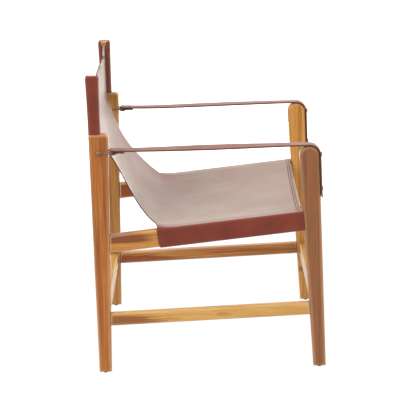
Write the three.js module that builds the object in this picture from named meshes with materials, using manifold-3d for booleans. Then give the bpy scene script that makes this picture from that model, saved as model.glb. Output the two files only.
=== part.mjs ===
// Leather sling lounge chair: a wooden frame, one leather sling and two leather strap arms.
// Millimetres, +Z up. The sitter faces -Y and has +X on the left.
// The origin is on the floor, under the middle of the chair.
import * as THREE from 'three';
import { mergeVertices } from 'three/addons/utils/BufferGeometryUtils.js';
import Module from 'manifold-3d';

const wasm = await Module();
wasm.setup();

// Fits
const FIT = 0.3; // gap between pieces that touch
const CUTTER = 200; // reach of the blocks that trim a rail
const MERGE_DISTANCE = 1e-4; // vertices closer than this are one

// Frame
const FRAME_WIDTH = 610; // over the outer faces of the legs
const FRAME_DEPTH = 620; // rear face of the rear legs to the toes of the front legs
const LEG_THICKNESS = 30; // across the chair
const LEG_EDGE_ROUND = 6.5;
const SHOULDER_RISE = 49.5; // bail pin's axis to the top of the rear leg's broad part
const SHOULDER_DEPTH = 53.5; // rear leg, front to back, at its shoulder
const SHOULDER_ROUND = 11; // has to stay well above the edge round
const REAR_FOOT_DEPTH = 33;
const POST_LENGTH = 155.5; // post that carries the back sleeve, above the broad part
const POST_ROUND = 8;
const POST_TOP_ROUND = 4.5;
const POST_ROOT = 25; // how far the post's section runs down into the broad part
const FRONT_FOOT_DEPTH = 33.5;
const FRONT_TOP_RADIUS = 26.6; // round top of the front leg
const FRONT_TOP_CENTRE_HEIGHT = 595;
const FRONT_LEG_LEAN = 20.1; // how far the round top sits behind the middle of the foot

// Seat rails and stretchers
const RAIL_HEIGHT = 48;
const RAIL_THICKNESS = 26;
const RAIL_EDGE_ROUND = 4.5;
const RAIL_INSET = 4; // rail's outer face behind the leg's outer face
const RAIL_REAR_HEIGHT = 342.6; // rail's underside at the rear leg
const RAIL_TILT = THREE.MathUtils.degToRad(5.35); // rises to the front
const STRETCHER_HEIGHT = 34;
const STRETCHER_THICKNESS = 24;
const STRETCHER_EDGE_ROUND = 4;
const STRETCHER_REAR_HEIGHT = 136.5; // side stretcher's underside at the rear leg
const STRETCHER_TILT = THREE.MathUtils.degToRad(1.65);
const TENON_THICKNESS = 10;
const TENON_SHOULDER = 6; // how much lower than its rail a tenon is, above and below
const RAIL_TENON_LENGTH = 20;
const STRETCHER_TENON_LENGTH = 9;
const CROSS_TENON_LENGTH = 14;
const TENON_ROOT = 12; // how far a tenon's block runs back into its rail

// Leather sling
const LEATHER = 2.6; // thickness of the hide
const SKIVE = 0.2; // pared off each face of the panel where it enters a seam
const SLEEVE_DEPTH = 33; // outside of the back sleeve, front to back
const SLEEVE_SETBACK = 4.5; // post's top to the top of the back sleeve
const BACK_SLEEVE_ROUND = 11; // outer corner of the back sleeves
const RAIL_SLEEVE_ROUND = 7; // outer corner of the rail sleeves
const RAIL_SLEEVE_INNER_ROUND = 3.6; // tighter than the rail's edge
const RAIL_SLEEVE_REAR = 177; // rear face of the chair to the rear end of the rail sleeve
const RAIL_SLEEVE_FRONT = 54; // toe of the front leg to the front end of the rail sleeve
const SLEEVE_LIFT = 3.5; // how far the hide is pulled up off the rail at the sleeve's rear end
const SLEEVE_LIFT_LENGTH = 40;
const SEAM_END = 7; // back sleeve's lower end to the end of its seam with the panel
const PANEL_TOP_DROP = 33; // sleeve's top to the panel's top edge beside the sleeve
const PANEL_CROWN = 10; // how much higher the top edge is in its middle
const WAIST_DEPTH = 79; // how far the free side edges curve in
const WAIST_START = 0.06; // shares of the free edge's length, from the back sleeve down
const WAIST_PEAK = 0.385;
const WAIST_END = 0.95;
const FREE_EDGE_UPPER_PULL = 13; // length of the free edge's straight start below the sleeve
const FREE_EDGE_LOWER_PULL = 73; // and of its straight end above the rail, front to back
const FREE_EDGE_LOWER_RISE = 0.76; // slope of that end
const FREE_EDGE_INSET = 1.5; // free edge's upper end to the leg's inner face
const BACK_SAG = 8; // how far the panel's middle hangs behind or below its edges
const CROOK_SAG = 30;
const SEAT_SAG = 14;
const HEM_SAG = 5;

// Arm straps
const STRAP_WIDTH = 34;
const STRAP_THICKNESS = 4.2;
const STRAP_DROP = 114; // middle of the front leg's round top to the strap's lower end
const STRAP_FLARE = 3.5; // how far that end stands off the leg
const STRAP_FLARE_LENGTH = 20;
const UPPER_STUD_RISE = 1; // upper stud above the middle of the front leg's round top
const LOWER_STUD_SETBACK = 21.5; // strap's lower end to the lower stud
const STUD_HEAD_RADIUS = 7;
const STUD_HEAD_HEIGHT = 3.8;
const STUD_SHANK_RADIUS = 1.6;
const STUD_SHANK_LENGTH = 18;
const LOOP_FIT = 0.4; // strap loop's clearance over and under the bail's bar
const LOOP_SLACK = 2; // play of the bar along the loop
const LOOP_THROAT = 16; // length over which the folded end closes up under the strap
const FOLD_LENGTH = 41; // strap's rear end to the end of the folded-back part
const RIVET_SETBACK = 12; // end of the folded-back part to the rivet
const RIVET_HEAD_RADIUS = 4;
const RIVET_HEAD_HEIGHT = 1.6;
const RIVET_SHANK_RADIUS = 1.5;

// Bails and their pins
const PIN_SETBACK = 25; // rear face of the leg to the pin's axis
const PIN_RADIUS = 2.5;
const PIN_HEAD_RADIUS = 6.2;
const PIN_HEAD_HEIGHT = 3.2;
const BAIL_REACH = 37; // pin's axis to the bar's axis
const BAIL_WIRE_RADIUS = 2;
const BAIL_EYE_RADIUS = 5.5;
const BAIL_BEND = 4;

// Foot glides
const GLIDE_HEIGHT = 4;
const GLIDE_RADIUS = 7;
const GLIDE_SOLE_RADIUS = 5;
const GLIDE_NAIL_RADIUS = 1.4;
const GLIDE_NAIL_LENGTH = 16;

// Fineness of the round shapes
const EDGE_STEPS = 3; // rounded edges and small corners
const CORNER_STEPS = 2; // half the steps of a section's rounded corner
const CURVE_STEPS = 8; // half the steps of a large arc
const ROUND_STEPS = 18; // once round a turned piece
const DOME_STEPS = 4;
const LOOP_STEPS = 5;
const WIRE_STEPS = 44;
const WIRE_SIDES = 10;
const BACK_ROWS = 4; // rows of the sling's panel between the back sleeves
const EDGE_ROWS = 13; // and along its free edges

// Materials
const WOOD = new THREE.MeshStandardMaterial({ color: 0xb8733c, roughness: 0.5, metalness: 0 });
const PALE_WOOD = new THREE.MeshStandardMaterial({ color: 0xd7a055, roughness: 0.5, metalness: 0 });
const SLING_LEATHER = new THREE.MeshStandardMaterial({ color: 0x783c2e, roughness: 0.35, metalness: 0 });
const STRAP_LEATHER = new THREE.MeshStandardMaterial({ color: 0x8a5a48, roughness: 0.4, metalness: 0 });
const BRASS = new THREE.MeshStandardMaterial({ color: 0x8d744c, roughness: 0.35, metalness: 0.9 });
const DARK_PLASTIC = new THREE.MeshStandardMaterial({ color: 0x3a2c20, roughness: 0.6, metalness: 0 });

// Places that several pieces share
const LEG_X = FRAME_WIDTH / 2 - LEG_THICKNESS / 2;
const INNER_FACE = LEG_THICKNESS / 2; // from a leg's middle plane
const REAR_Y = FRAME_DEPTH / 2;
const TOE_Y = -FRAME_DEPTH / 2;
const FOOT_Z = GLIDE_HEIGHT;
const REAR_GLIDE_Y = REAR_Y - REAR_FOOT_DEPTH / 2;
const FRONT_GLIDE_Y = TOE_Y + FRONT_FOOT_DEPTH / 2;
const STRAP_UNDERSIDE = FRONT_TOP_CENTRE_HEIGHT + FRONT_TOP_RADIUS + FIT;
const STRAP_TAIL_HEIGHT = FRONT_TOP_CENTRE_HEIGHT - STRAP_DROP;
const PIN_Y = REAR_Y - PIN_SETBACK;
const PIN_Z = STRAP_UNDERSIDE - LOOP_FIT - BAIL_WIRE_RADIUS;
const SHOULDER_HEIGHT = PIN_Z + SHOULDER_RISE;
const POST_TOP = SHOULDER_HEIGHT + POST_LENGTH;
const SLEEVE_TOP = POST_TOP - SLEEVE_SETBACK;
const POST_WIDTH = LEG_THICKNESS - 2 * (LEATHER + FIT);
const POST_DEPTH = SLEEVE_DEPTH - 2 * (LEATHER + FIT);
const POST_Y = REAR_Y - SLEEVE_DEPTH / 2;
const RAIL_X = INNER_FACE - RAIL_INSET - RAIL_THICKNESS / 2; // outboard of the leg's middle plane
const SIDES = { right: -1, left: 1 };

// Front leg's round top, and the straight faces that run off it to the foot
const FRONT_TOP = new THREE.Vector2(TOE_Y + FRONT_FOOT_DEPTH / 2 + FRONT_LEG_LEAN, FRONT_TOP_CENTRE_HEIGHT);
const FRONT_HEEL = new THREE.Vector2(TOE_Y + FRONT_FOOT_DEPTH, FOOT_Z);
const FRONT_TOE = new THREE.Vector2(TOE_Y, FOOT_Z);

// Angle, on the round top, where a straight face from a foot corner runs into it; turn is 1 or -1
function tangentAngle(corner, turn) {
  const reach = corner.clone().sub(FRONT_TOP);
  return reach.angle() + turn * Math.acos(FRONT_TOP_RADIUS / reach.length());
}

const FRONT_LEG_REAR_ANGLE = tangentAngle(FRONT_HEEL, 1);
const FRONT_LEG_FRONT_ANGLE = tangentAngle(FRONT_TOE, -1);

function onFrontTop(angle, radius) {
  return new THREE.Vector2(Math.cos(angle), Math.sin(angle)).multiplyScalar(radius).add(FRONT_TOP);
}

function lineAt(a, b, z) {
  return a.x + ((b.x - a.x) * (z - a.y)) / (b.y - a.y);
}

function rearLegFront(z) {
  const foot = new THREE.Vector2(REAR_Y - REAR_FOOT_DEPTH, FOOT_Z);
  const shoulder = new THREE.Vector2(REAR_Y - SHOULDER_DEPTH, SHOULDER_HEIGHT);
  return lineAt(foot, shoulder, z);
}

function frontLegRear(z) {
  return lineAt(FRONT_HEEL, onFrontTop(FRONT_LEG_REAR_ANGLE, FRONT_TOP_RADIUS), z);
}

function frontLegFront(z) {
  return lineAt(FRONT_TOE, onFrontTop(FRONT_LEG_FRONT_ANGLE, FRONT_TOP_RADIUS), z);
}

// Geometry helpers

// One closed mesh with shared vertices, no flat triangles, and its faces pointing out
function closedMesh(geometry) {
  const bare = geometry.index ? geometry.toNonIndexed() : geometry.clone();
  bare.deleteAttribute('normal');
  bare.deleteAttribute('uv');
  const merged = mergeVertices(bare, MERGE_DISTANCE);
  const position = merged.attributes.position;
  const corners = [new THREE.Vector3(), new THREE.Vector3(), new THREE.Vector3()];
  const triangles = [];
  let volume = 0;
  for (let i = 0; i < merged.index.count; i += 3) {
    const ids = [0, 1, 2].map((k) => merged.index.getX(i + k));
    if (new Set(ids).size < 3) continue;
    ids.forEach((id, k) => corners[k].fromBufferAttribute(position, id));
    volume += corners[0].dot(corners[1].clone().cross(corners[2]));
    triangles.push(ids);
  }
  const index = triangles.flatMap(([a, b, c]) => (volume < 0 ? [a, c, b] : [a, b, c]));
  const closed = new THREE.BufferGeometry();
  closed.setAttribute('position', position.clone());
  closed.setIndex(index);
  return closed;
}

function toSolid(geometry) {
  const closed = closedMesh(geometry);
  return new wasm.Manifold(
    new wasm.Mesh({
      numProp: 3,
      vertProperties: new Float32Array(closed.attributes.position.array),
      triVerts: new Uint32Array(closed.index.array),
    }),
  );
}

function toGeometry(solid) {
  const mesh = solid.getMesh();
  const geometry = new THREE.BufferGeometry();
  geometry.setAttribute('position', new THREE.BufferAttribute(new Float32Array(mesh.vertProperties), 3));
  geometry.setIndex(new THREE.BufferAttribute(new Uint32Array(mesh.triVerts), 1));
  return geometry;
}

function cut(geometry, ...tools) {
  return toGeometry(tools.reduce((solid, tool) => solid.subtract(toSolid(tool)), toSolid(geometry)));
}

function join(geometry, ...others) {
  return toGeometry(others.reduce((solid, other) => solid.add(toSolid(other)), toSolid(geometry)));
}

// Outline in the side view, as [y, z, corner rounding], with the corners rounded off
function sideOutline(corners) {
  const shape = new THREE.Shape();
  corners.forEach(([y, z, round = 0], i) => {
    const here = new THREE.Vector2(y, z);
    const last = corners[(i + corners.length - 1) % corners.length];
    const next = corners[(i + 1) % corners.length];
    const toLast = new THREE.Vector2(last[0], last[1]).sub(here).setLength(round);
    const toNext = new THREE.Vector2(next[0], next[1]).sub(here).setLength(round);
    const enter = here.clone().add(toLast);
    const leave = here.clone().add(toNext);
    if (i === 0) shape.moveTo(enter.x, enter.y);
    else shape.lineTo(enter.x, enter.y);
    if (round > 0) shape.quadraticCurveTo(y, z, leave.x, leave.y);
  });
  shape.closePath();
  return shape;
}

const SIDE_VIEW = new THREE.Matrix4().makeBasis(
  new THREE.Vector3(0, 1, 0),
  new THREE.Vector3(0, 0, 1),
  new THREE.Vector3(1, 0, 0),
);

// Side-view outline made into a board across the chair, centred on x = 0
function sideBoard(shape, thickness, edgeRound = 0, curveSteps = CURVE_STEPS) {
  const geometry = new THREE.ExtrudeGeometry(shape, {
    depth: thickness - 2 * edgeRound,
    steps: 1,
    curveSegments: curveSteps,
    bevelEnabled: edgeRound > 0,
    bevelThickness: edgeRound,
    bevelSize: edgeRound,
    bevelOffset: -edgeRound,
    bevelSegments: EDGE_STEPS,
  });
  geometry.translate(0, 0, edgeRound - thickness / 2);
  return geometry.applyMatrix4(SIDE_VIEW);
}

function roundedRectangle(width, height, round, make = THREE.Shape) {
  const x = width / 2;
  const y = height / 2;
  const path = new make();
  path.moveTo(x, round - y);
  path.absarc(x - round, y - round, round, 0, Math.PI / 2, false);
  path.absarc(round - x, y - round, round, Math.PI / 2, Math.PI, false);
  path.absarc(round - x, round - y, round, Math.PI, 1.5 * Math.PI, false);
  path.absarc(x - round, round - y, round, 1.5 * Math.PI, 2 * Math.PI, false);
  path.closePath();
  return path;
}

// Turned piece from [radius, height] points, about its own Y axis
function turned(points) {
  return new THREE.LatheGeometry(points.map(([r, h]) => new THREE.Vector2(r, h)), ROUND_STEPS);
}

// Points of a dome from its rim to its crown
function dome(radius, height, base) {
  return Array.from({ length: DOME_STEPS + 1 }, (_, i) => {
    const angle = (i / DOME_STEPS) * (Math.PI / 2);
    return [i === DOME_STEPS ? 0 : radius * Math.cos(angle), base + height * Math.sin(angle)];
  });
}

function rod(radius, length) {
  return new THREE.CylinderGeometry(radius, radius, length, ROUND_STEPS);
}

// Rails between a rear and a front leg
// A rail is told by its underside at the rear leg, its tilt and its section.

const SEAT_RAIL = {
  rearHeight: RAIL_REAR_HEIGHT,
  tilt: RAIL_TILT,
  height: RAIL_HEIGHT,
  thickness: RAIL_THICKNESS,
  edgeRound: RAIL_EDGE_ROUND,
  tenonLength: RAIL_TENON_LENGTH,
};
const SIDE_STRETCHER = {
  rearHeight: STRETCHER_REAR_HEIGHT,
  tilt: STRETCHER_TILT,
  height: STRETCHER_HEIGHT,
  thickness: STRETCHER_THICKNESS,
  edgeRound: STRETCHER_EDGE_ROUND,
  tenonLength: STRETCHER_TENON_LENGTH,
};

// Point on a rail, at this y on its underside and this far above it, square to the rail
function onRail(rail, y, above) {
  const underside = rail.rearHeight + (rearLegFront(rail.rearHeight) - y) * Math.tan(rail.tilt);
  return new THREE.Vector2(y + above * Math.sin(rail.tilt), underside + above * Math.cos(rail.tilt));
}

// Where a rail's middle line meets a leg's straight face
function railEnd(rail, face) {
  const start = onRail(rail, 0, rail.height / 2);
  const faceSlope = face(1) - face(0);
  const z = start.y + (start.x - face(0)) * Math.tan(rail.tilt);
  const height = z / (1 + faceSlope * Math.tan(rail.tilt));
  return new THREE.Vector2(face(height), height);
}

// Tenon block at one end of a rail; way is 1 into the rear leg and -1 into the front leg
function railTenon(rail, way, slack) {
  const end = railEnd(rail, way > 0 ? rearLegFront : frontLegRear);
  const along = new THREE.Vector2(Math.cos(rail.tilt), -Math.sin(rail.tilt)).multiplyScalar(way);
  const depth = rail.tenonLength + slack;
  const middle = end.clone().addScaledVector(along, (depth - TENON_ROOT) / 2);
  const height = rail.height - 2 * TENON_SHOULDER + 2 * slack;
  const tenon = new THREE.BoxGeometry(TENON_THICKNESS + 2 * slack, depth + TENON_ROOT, height);
  return tenon.rotateX(-rail.tilt).translate(0, middle.x, middle.y);
}

// Block that fills the leg's side of a leg face, a fit's width in front of it
function legSpace(face, way) {
  const low = FOOT_Z;
  const high = SHOULDER_HEIGHT;
  const shape = sideOutline([
    [face(low) - way * FIT, low],
    [face(high) - way * FIT, high],
    [face(high) + way * CUTTER, high],
    [face(low) + way * CUTTER, low],
  ]);
  return sideBoard(shape, CUTTER);
}

function railBetweenLegs(rail) {
  const corners = [
    onRail(rail, REAR_Y, 0),
    onRail(rail, REAR_Y, rail.height),
    onRail(rail, TOE_Y, rail.height),
    onRail(rail, TOE_Y, 0),
  ];
  const board = sideBoard(sideOutline(corners.map((p) => [p.x, p.y])), rail.thickness, rail.edgeRound);
  const trimmed = cut(board, legSpace(rearLegFront, 1), legSpace(frontLegRear, -1));
  return join(trimmed, railTenon(rail, 1, 0), railTenon(rail, -1, 0));
}

// Mortise for a rail's tenon, in a leg; outboard is the rail's offset in that leg
function railMortise(rail, way, outboard) {
  return railTenon(rail, way, FIT).translate(outboard, 0, 0);
}

// Cross stretchers, level with the side stretchers at their legs

function crossPlace(way) {
  const end = railEnd(SIDE_STRETCHER, way > 0 ? rearLegFront : frontLegRear);
  const z = end.y;
  const y = way > 0 ? (rearLegFront(z) + REAR_Y) / 2 : (frontLegRear(z) + frontLegFront(z)) / 2;
  return { y, z };
}

function crossTenon(slack) {
  const length = 2 * (LEG_X - INNER_FACE + CROSS_TENON_LENGTH + slack);
  const height = STRETCHER_HEIGHT - 2 * TENON_SHOULDER + 2 * slack;
  return new THREE.BoxGeometry(length, TENON_THICKNESS + 2 * slack, height);
}

function crossStretcher() {
  const length = 2 * (LEG_X - INNER_FACE - FIT);
  const section = roundedRectangle(STRETCHER_HEIGHT, STRETCHER_THICKNESS, STRETCHER_EDGE_ROUND);
  const form = { depth: length, curveSegments: CORNER_STEPS, bevelEnabled: false };
  const geometry = new THREE.ExtrudeGeometry(section, form);
  geometry.translate(0, 0, -length / 2);
  geometry.rotateY(Math.PI / 2);
  return join(geometry, crossTenon(0));
}

function crossMortise(side, way) {
  const place = crossPlace(way);
  return crossTenon(FIT).translate(-side * LEG_X, place.y, place.z);
}

// Strap studs, on the front leg
const FRONT_FACE_LEAN = Math.PI - FRONT_LEG_FRONT_ANGLE; // of the front leg's front face

// Point in front of the front leg's front face, at this height on the face and this far off it
function offFrontFace(height, away) {
  const lean = FRONT_FACE_LEAN;
  return new THREE.Vector2(frontLegFront(height) - away * Math.cos(lean), height + away * Math.sin(lean));
}

// Where a stud's axis leaves the leg, and which way it points
const UPPER_STUD_ANGLE = Math.PI - Math.asin(UPPER_STUD_RISE / FRONT_TOP_RADIUS);
const UPPER_STUD = { seat: onFrontTop(UPPER_STUD_ANGLE, FRONT_TOP_RADIUS), angle: UPPER_STUD_ANGLE };
const LOWER_STUD = {
  seat: offFrontFace(STRAP_TAIL_HEIGHT + LOWER_STUD_SETBACK, 0),
  angle: FRONT_LEG_FRONT_ANGLE,
};

function placeAtStud(geometry, { seat, angle }) {
  return geometry.rotateX(angle).translate(0, seat.x, seat.y);
}

function studHole(place) {
  const length = STUD_SHANK_LENGTH + STRAP_THICKNESS + 4 * FIT;
  const hole = rod(STUD_SHANK_RADIUS + FIT, length);
  hole.translate(0, length / 2 - STUD_SHANK_LENGTH - FIT, 0);
  return placeAtStud(hole, place);
}

function stud(place) {
  const seat = STRAP_THICKNESS + 2 * FIT;
  const points = [
    [0, -STUD_SHANK_LENGTH],
    [STUD_SHANK_RADIUS, 1.5 * STUD_SHANK_RADIUS - STUD_SHANK_LENGTH],
    [STUD_SHANK_RADIUS, seat],
    ...dome(STUD_HEAD_RADIUS, STUD_HEAD_HEIGHT, seat),
  ];
  return placeAtStud(turned(points), place);
}

// Legs

function glideHole(y) {
  const length = GLIDE_NAIL_LENGTH + 2 * FIT;
  const hole = rod(GLIDE_NAIL_RADIUS + FIT, 2 * length);
  return hole.rotateX(Math.PI / 2).translate(0, y, FOOT_Z);
}

function pinHole() {
  return rod(PIN_RADIUS + FIT, 2 * LEG_THICKNESS).rotateZ(Math.PI / 2).translate(0, PIN_Y, PIN_Z);
}

function rearLeg(side) {
  const broad = sideOutline([
    [REAR_Y, FOOT_Z],
    [REAR_Y, SHOULDER_HEIGHT],
    [REAR_Y - SHOULDER_DEPTH, SHOULDER_HEIGHT, SHOULDER_ROUND],
    [REAR_Y - REAR_FOOT_DEPTH, FOOT_Z],
  ]);
  const board = sideBoard(broad, LEG_THICKNESS, LEG_EDGE_ROUND, EDGE_STEPS);
  const bottom = SHOULDER_HEIGHT - POST_ROOT;
  const post = new THREE.ExtrudeGeometry(roundedRectangle(POST_WIDTH, POST_DEPTH, POST_ROUND), {
    depth: POST_TOP - bottom - 2 * POST_TOP_ROUND,
    curveSegments: CORNER_STEPS,
    bevelThickness: POST_TOP_ROUND,
    bevelSize: POST_TOP_ROUND,
    bevelOffset: -POST_TOP_ROUND,
    bevelSegments: EDGE_STEPS,
  });
  post.translate(0, POST_Y, bottom + POST_TOP_ROUND);
  return cut(
    join(board, post),
    railMortise(SEAT_RAIL, 1, side * RAIL_X),
    railMortise(SIDE_STRETCHER, 1, 0),
    crossMortise(side, 1),
    pinHole(),
    glideHole(REAR_GLIDE_Y),
  );
}

function frontLeg(side) {
  const shape = new THREE.Shape();
  shape.moveTo(FRONT_TOE.x, FRONT_TOE.y);
  shape.lineTo(FRONT_HEEL.x, FRONT_HEEL.y);
  const { x, y } = FRONT_TOP;
  shape.absarc(x, y, FRONT_TOP_RADIUS, FRONT_LEG_REAR_ANGLE, FRONT_LEG_FRONT_ANGLE, false);
  shape.closePath();
  return cut(
    sideBoard(shape, LEG_THICKNESS, LEG_EDGE_ROUND),
    railMortise(SEAT_RAIL, -1, side * RAIL_X),
    railMortise(SIDE_STRETCHER, -1, 0),
    crossMortise(side, -1),
    studHole(UPPER_STUD),
    studHole(LOWER_STUD),
    glideHole(FRONT_GLIDE_Y),
  );
}

// Foot glide: a button with a nail, its sole on the floor
function footGlide() {
  const rim = GLIDE_HEIGHT - FIT;
  return turned([
    [0, 0],
    [GLIDE_SOLE_RADIUS, 0],
    [GLIDE_RADIUS, 0.4 * rim],
    [GLIDE_RADIUS, rim],
    [GLIDE_NAIL_RADIUS, rim],
    [GLIDE_NAIL_RADIUS, FOOT_Z + GLIDE_NAIL_LENGTH - 2 * GLIDE_NAIL_RADIUS],
    [0, FOOT_Z + GLIDE_NAIL_LENGTH],
  ]).rotateX(Math.PI / 2);
}

// Arm strap in two lengths, which meet over the front leg where the strap gives

function strapFront() {
  const inner = FRONT_TOP_RADIUS + FIT;
  const outer = inner + STRAP_THICKNESS;
  const crest = Math.PI / 2 + FIT / 2 / inner;
  const flareStart = STRAP_TAIL_HEIGHT + STRAP_FLARE_LENGTH;
  const outerBend = offFrontFace(flareStart, FIT + STRAP_THICKNESS);
  const outerPull = offFrontFace(STRAP_TAIL_HEIGHT + STRAP_FLARE_LENGTH / 2, FIT + STRAP_THICKNESS);
  const outerEnd = offFrontFace(STRAP_TAIL_HEIGHT, FIT + STRAP_THICKNESS + STRAP_FLARE);
  const innerEnd = offFrontFace(STRAP_TAIL_HEIGHT, FIT + STRAP_FLARE);
  const innerPull = offFrontFace(STRAP_TAIL_HEIGHT + STRAP_FLARE_LENGTH / 2, FIT);
  const innerBend = offFrontFace(flareStart, FIT);
  const shape = new THREE.Shape();
  shape.absarc(FRONT_TOP.x, FRONT_TOP.y, outer, crest, FRONT_LEG_FRONT_ANGLE, false);
  shape.lineTo(outerBend.x, outerBend.y);
  shape.quadraticCurveTo(outerPull.x, outerPull.y, outerEnd.x, outerEnd.y);
  shape.lineTo(innerEnd.x, innerEnd.y);
  shape.quadraticCurveTo(innerPull.x, innerPull.y, innerBend.x, innerBend.y);
  shape.absarc(FRONT_TOP.x, FRONT_TOP.y, inner, FRONT_LEG_FRONT_ANGLE, crest, true);
  shape.closePath();
  return cut(sideBoard(shape, STRAP_WIDTH), studHole(UPPER_STUD), studHole(LOWER_STUD));
}

// Rear end of the strap: round the bail's bar, back under itself and riveted
const LOOP_INNER = BAIL_WIRE_RADIUS + LOOP_FIT;
const LOOP_OUTER = LOOP_INNER + STRAP_THICKNESS;
const LOOP_Y = PIN_Y - BAIL_REACH + LOOP_SLACK;
const FOLD_END_Y = LOOP_Y + LOOP_OUTER - FOLD_LENGTH;
const FOLD_TOP = STRAP_UNDERSIDE - FIT;
const RIVET_Y = FOLD_END_Y + RIVET_SETBACK;

function strapSpan() {
  const start = FRONT_TOP.x + FIT / 2;
  const pocket = LOOP_Y - 2 * LOOP_SLACK;
  const throat = LOOP_Y - LOOP_THROAT;
  const shape = new THREE.Shape();
  shape.moveTo(start, STRAP_UNDERSIDE);
  shape.absarc(LOOP_Y, PIN_Z, LOOP_INNER, Math.PI / 2, -Math.PI / 2, true);
  shape.lineTo(pocket, PIN_Z - LOOP_INNER);
  shape.lineTo(throat, FOLD_TOP);
  shape.lineTo(FOLD_END_Y, FOLD_TOP);
  shape.lineTo(FOLD_END_Y, FOLD_TOP - STRAP_THICKNESS);
  shape.lineTo(throat, FOLD_TOP - STRAP_THICKNESS);
  shape.lineTo(pocket, PIN_Z - LOOP_OUTER);
  shape.absarc(LOOP_Y, PIN_Z, LOOP_OUTER, -Math.PI / 2, Math.PI / 2, false);
  shape.lineTo(start, STRAP_UNDERSIDE + STRAP_THICKNESS);
  shape.closePath();
  const hole = rod(RIVET_SHANK_RADIUS + FIT, 6 * STRAP_THICKNESS);
  hole.rotateX(Math.PI / 2).translate(0, RIVET_Y, STRAP_UNDERSIDE);
  return cut(sideBoard(shape, STRAP_WIDTH, 0, LOOP_STEPS), hole);
}

function rivet() {
  const top = STRAP_UNDERSIDE + STRAP_THICKNESS + FIT;
  const bottom = FOLD_TOP - STRAP_THICKNESS - FIT;
  const points = [
    [0, bottom - RIVET_HEAD_HEIGHT],
    [RIVET_HEAD_RADIUS - RIVET_HEAD_HEIGHT / 2, bottom - RIVET_HEAD_HEIGHT],
    [RIVET_HEAD_RADIUS, bottom],
    [RIVET_SHANK_RADIUS, bottom],
    [RIVET_SHANK_RADIUS, top],
    ...dome(RIVET_HEAD_RADIUS, RIVET_HEAD_HEIGHT, top),
  ];
  return turned(points).rotateX(Math.PI / 2).translate(0, RIVET_Y, 0);
}

// Bail: a wire bent to a U, with an eye at each end on the pin
const EYE_X = INNER_FACE + FIT + BAIL_WIRE_RADIUS; // an eye is as thick as the wire

function bail() {
  const bar = -BAIL_REACH;
  const spread = STRAP_WIDTH / 2 + LOOP_FIT + BAIL_WIRE_RADIUS;
  const root = new THREE.Vector3(EYE_X, -(PIN_RADIUS + FIT + BAIL_WIRE_RADIUS / 2), 0);
  const bend = new THREE.Vector3(spread, bar + BAIL_BEND, 0);
  const corner = root.clone().lerp(bend, (bar - root.y) / (bend.y - root.y));
  const barEnd = new THREE.Vector3(corner.x - BAIL_BEND, bar, 0);
  const mirror = (v) => new THREE.Vector3(-v.x, v.y, v.z);
  const path = new THREE.CurvePath();
  path.add(new THREE.LineCurve3(root, bend));
  path.add(new THREE.QuadraticBezierCurve3(bend, corner, barEnd));
  path.add(new THREE.LineCurve3(barEnd, mirror(barEnd)));
  path.add(new THREE.QuadraticBezierCurve3(mirror(barEnd), mirror(corner), mirror(bend)));
  path.add(new THREE.LineCurve3(mirror(bend), mirror(root)));
  const section = new THREE.Shape().absarc(0, 0, BAIL_WIRE_RADIUS, 0, 2 * Math.PI, false);
  const form = { steps: WIRE_STEPS, curveSegments: WIRE_SIDES / 2, extrudePath: path };
  const wire = new THREE.ExtrudeGeometry(section, form);
  const half = BAIL_WIRE_RADIUS;
  const eyes = [-1, 1].map((way) =>
    turned([
      [PIN_RADIUS + FIT, -half],
      [BAIL_EYE_RADIUS, -half],
      [BAIL_EYE_RADIUS, half],
      [PIN_RADIUS + FIT, half],
      [PIN_RADIUS + FIT, -half],
    ])
      .rotateZ(Math.PI / 2)
      .translate(way * EYE_X, 0, 0),
  );
  const bore = rod(PIN_RADIUS + FIT, 4 * LEG_THICKNESS).rotateZ(Math.PI / 2);
  return cut(join(wire, ...eyes), bore).translate(0, PIN_Y, PIN_Z);
}

// Pin through the rear leg and both eyes, headed at both ends
function bailPin() {
  const seat = EYE_X + BAIL_WIRE_RADIUS + 2 * FIT;
  const crown = dome(PIN_HEAD_RADIUS, PIN_HEAD_HEIGHT, seat);
  const points = [
    ...crown.map(([r, h]) => [r, -h]).reverse(),
    [PIN_RADIUS, -seat],
    [PIN_RADIUS, seat],
    ...crown,
  ];
  return turned(points).rotateZ(Math.PI / 2).translate(0, PIN_Y, PIN_Z);
}

// Leather sling

const RAIL_SLEEVE_REAR_Y = REAR_Y - RAIL_SLEEVE_REAR;
const RAIL_SLEEVE_FRONT_Y = TOE_Y + RAIL_SLEEVE_FRONT;
const RAIL_TOP_LEATHER = RAIL_HEIGHT + FIT + LEATHER / 2; // middle of the hide over the rail
const RAIL_WORLD_X = LEG_X + RAIL_X;
const SEAT_HALF = RAIL_WORLD_X - RAIL_THICKNESS / 2 - FIT - LEATHER; // between the rail sleeves
const SLEEVE_BOTTOM = SHOULDER_HEIGHT + FIT;

// How far the hide stands up off the rail, at this y
function sleeveLift(y) {
  const into = Math.max(0, y - (RAIL_SLEEVE_REAR_Y - SLEEVE_LIFT_LENGTH)) / SLEEVE_LIFT_LENGTH;
  return SLEEVE_LIFT * into * into;
}

function postSleeve(side) {
  const ring = roundedRectangle(LEG_THICKNESS, SLEEVE_DEPTH, BACK_SLEEVE_ROUND);
  const inner = roundedRectangle(POST_WIDTH + 2 * FIT, POST_DEPTH + 2 * FIT, POST_ROUND, THREE.Path);
  ring.holes.push(inner);
  const depth = SLEEVE_TOP - SLEEVE_BOTTOM;
  const form = { depth, curveSegments: CORNER_STEPS, bevelEnabled: false };
  const geometry = new THREE.ExtrudeGeometry(ring, form);
  return geometry.translate(side * LEG_X, POST_Y, SLEEVE_BOTTOM);
}

function meshOf(points, index) {
  const geometry = new THREE.BufferGeometry();
  const coordinates = points.flatMap((p) => p.toArray());
  geometry.setAttribute('position', new THREE.Float32BufferAttribute(coordinates, 3));
  geometry.setIndex(index);
  return geometry;
}

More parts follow.
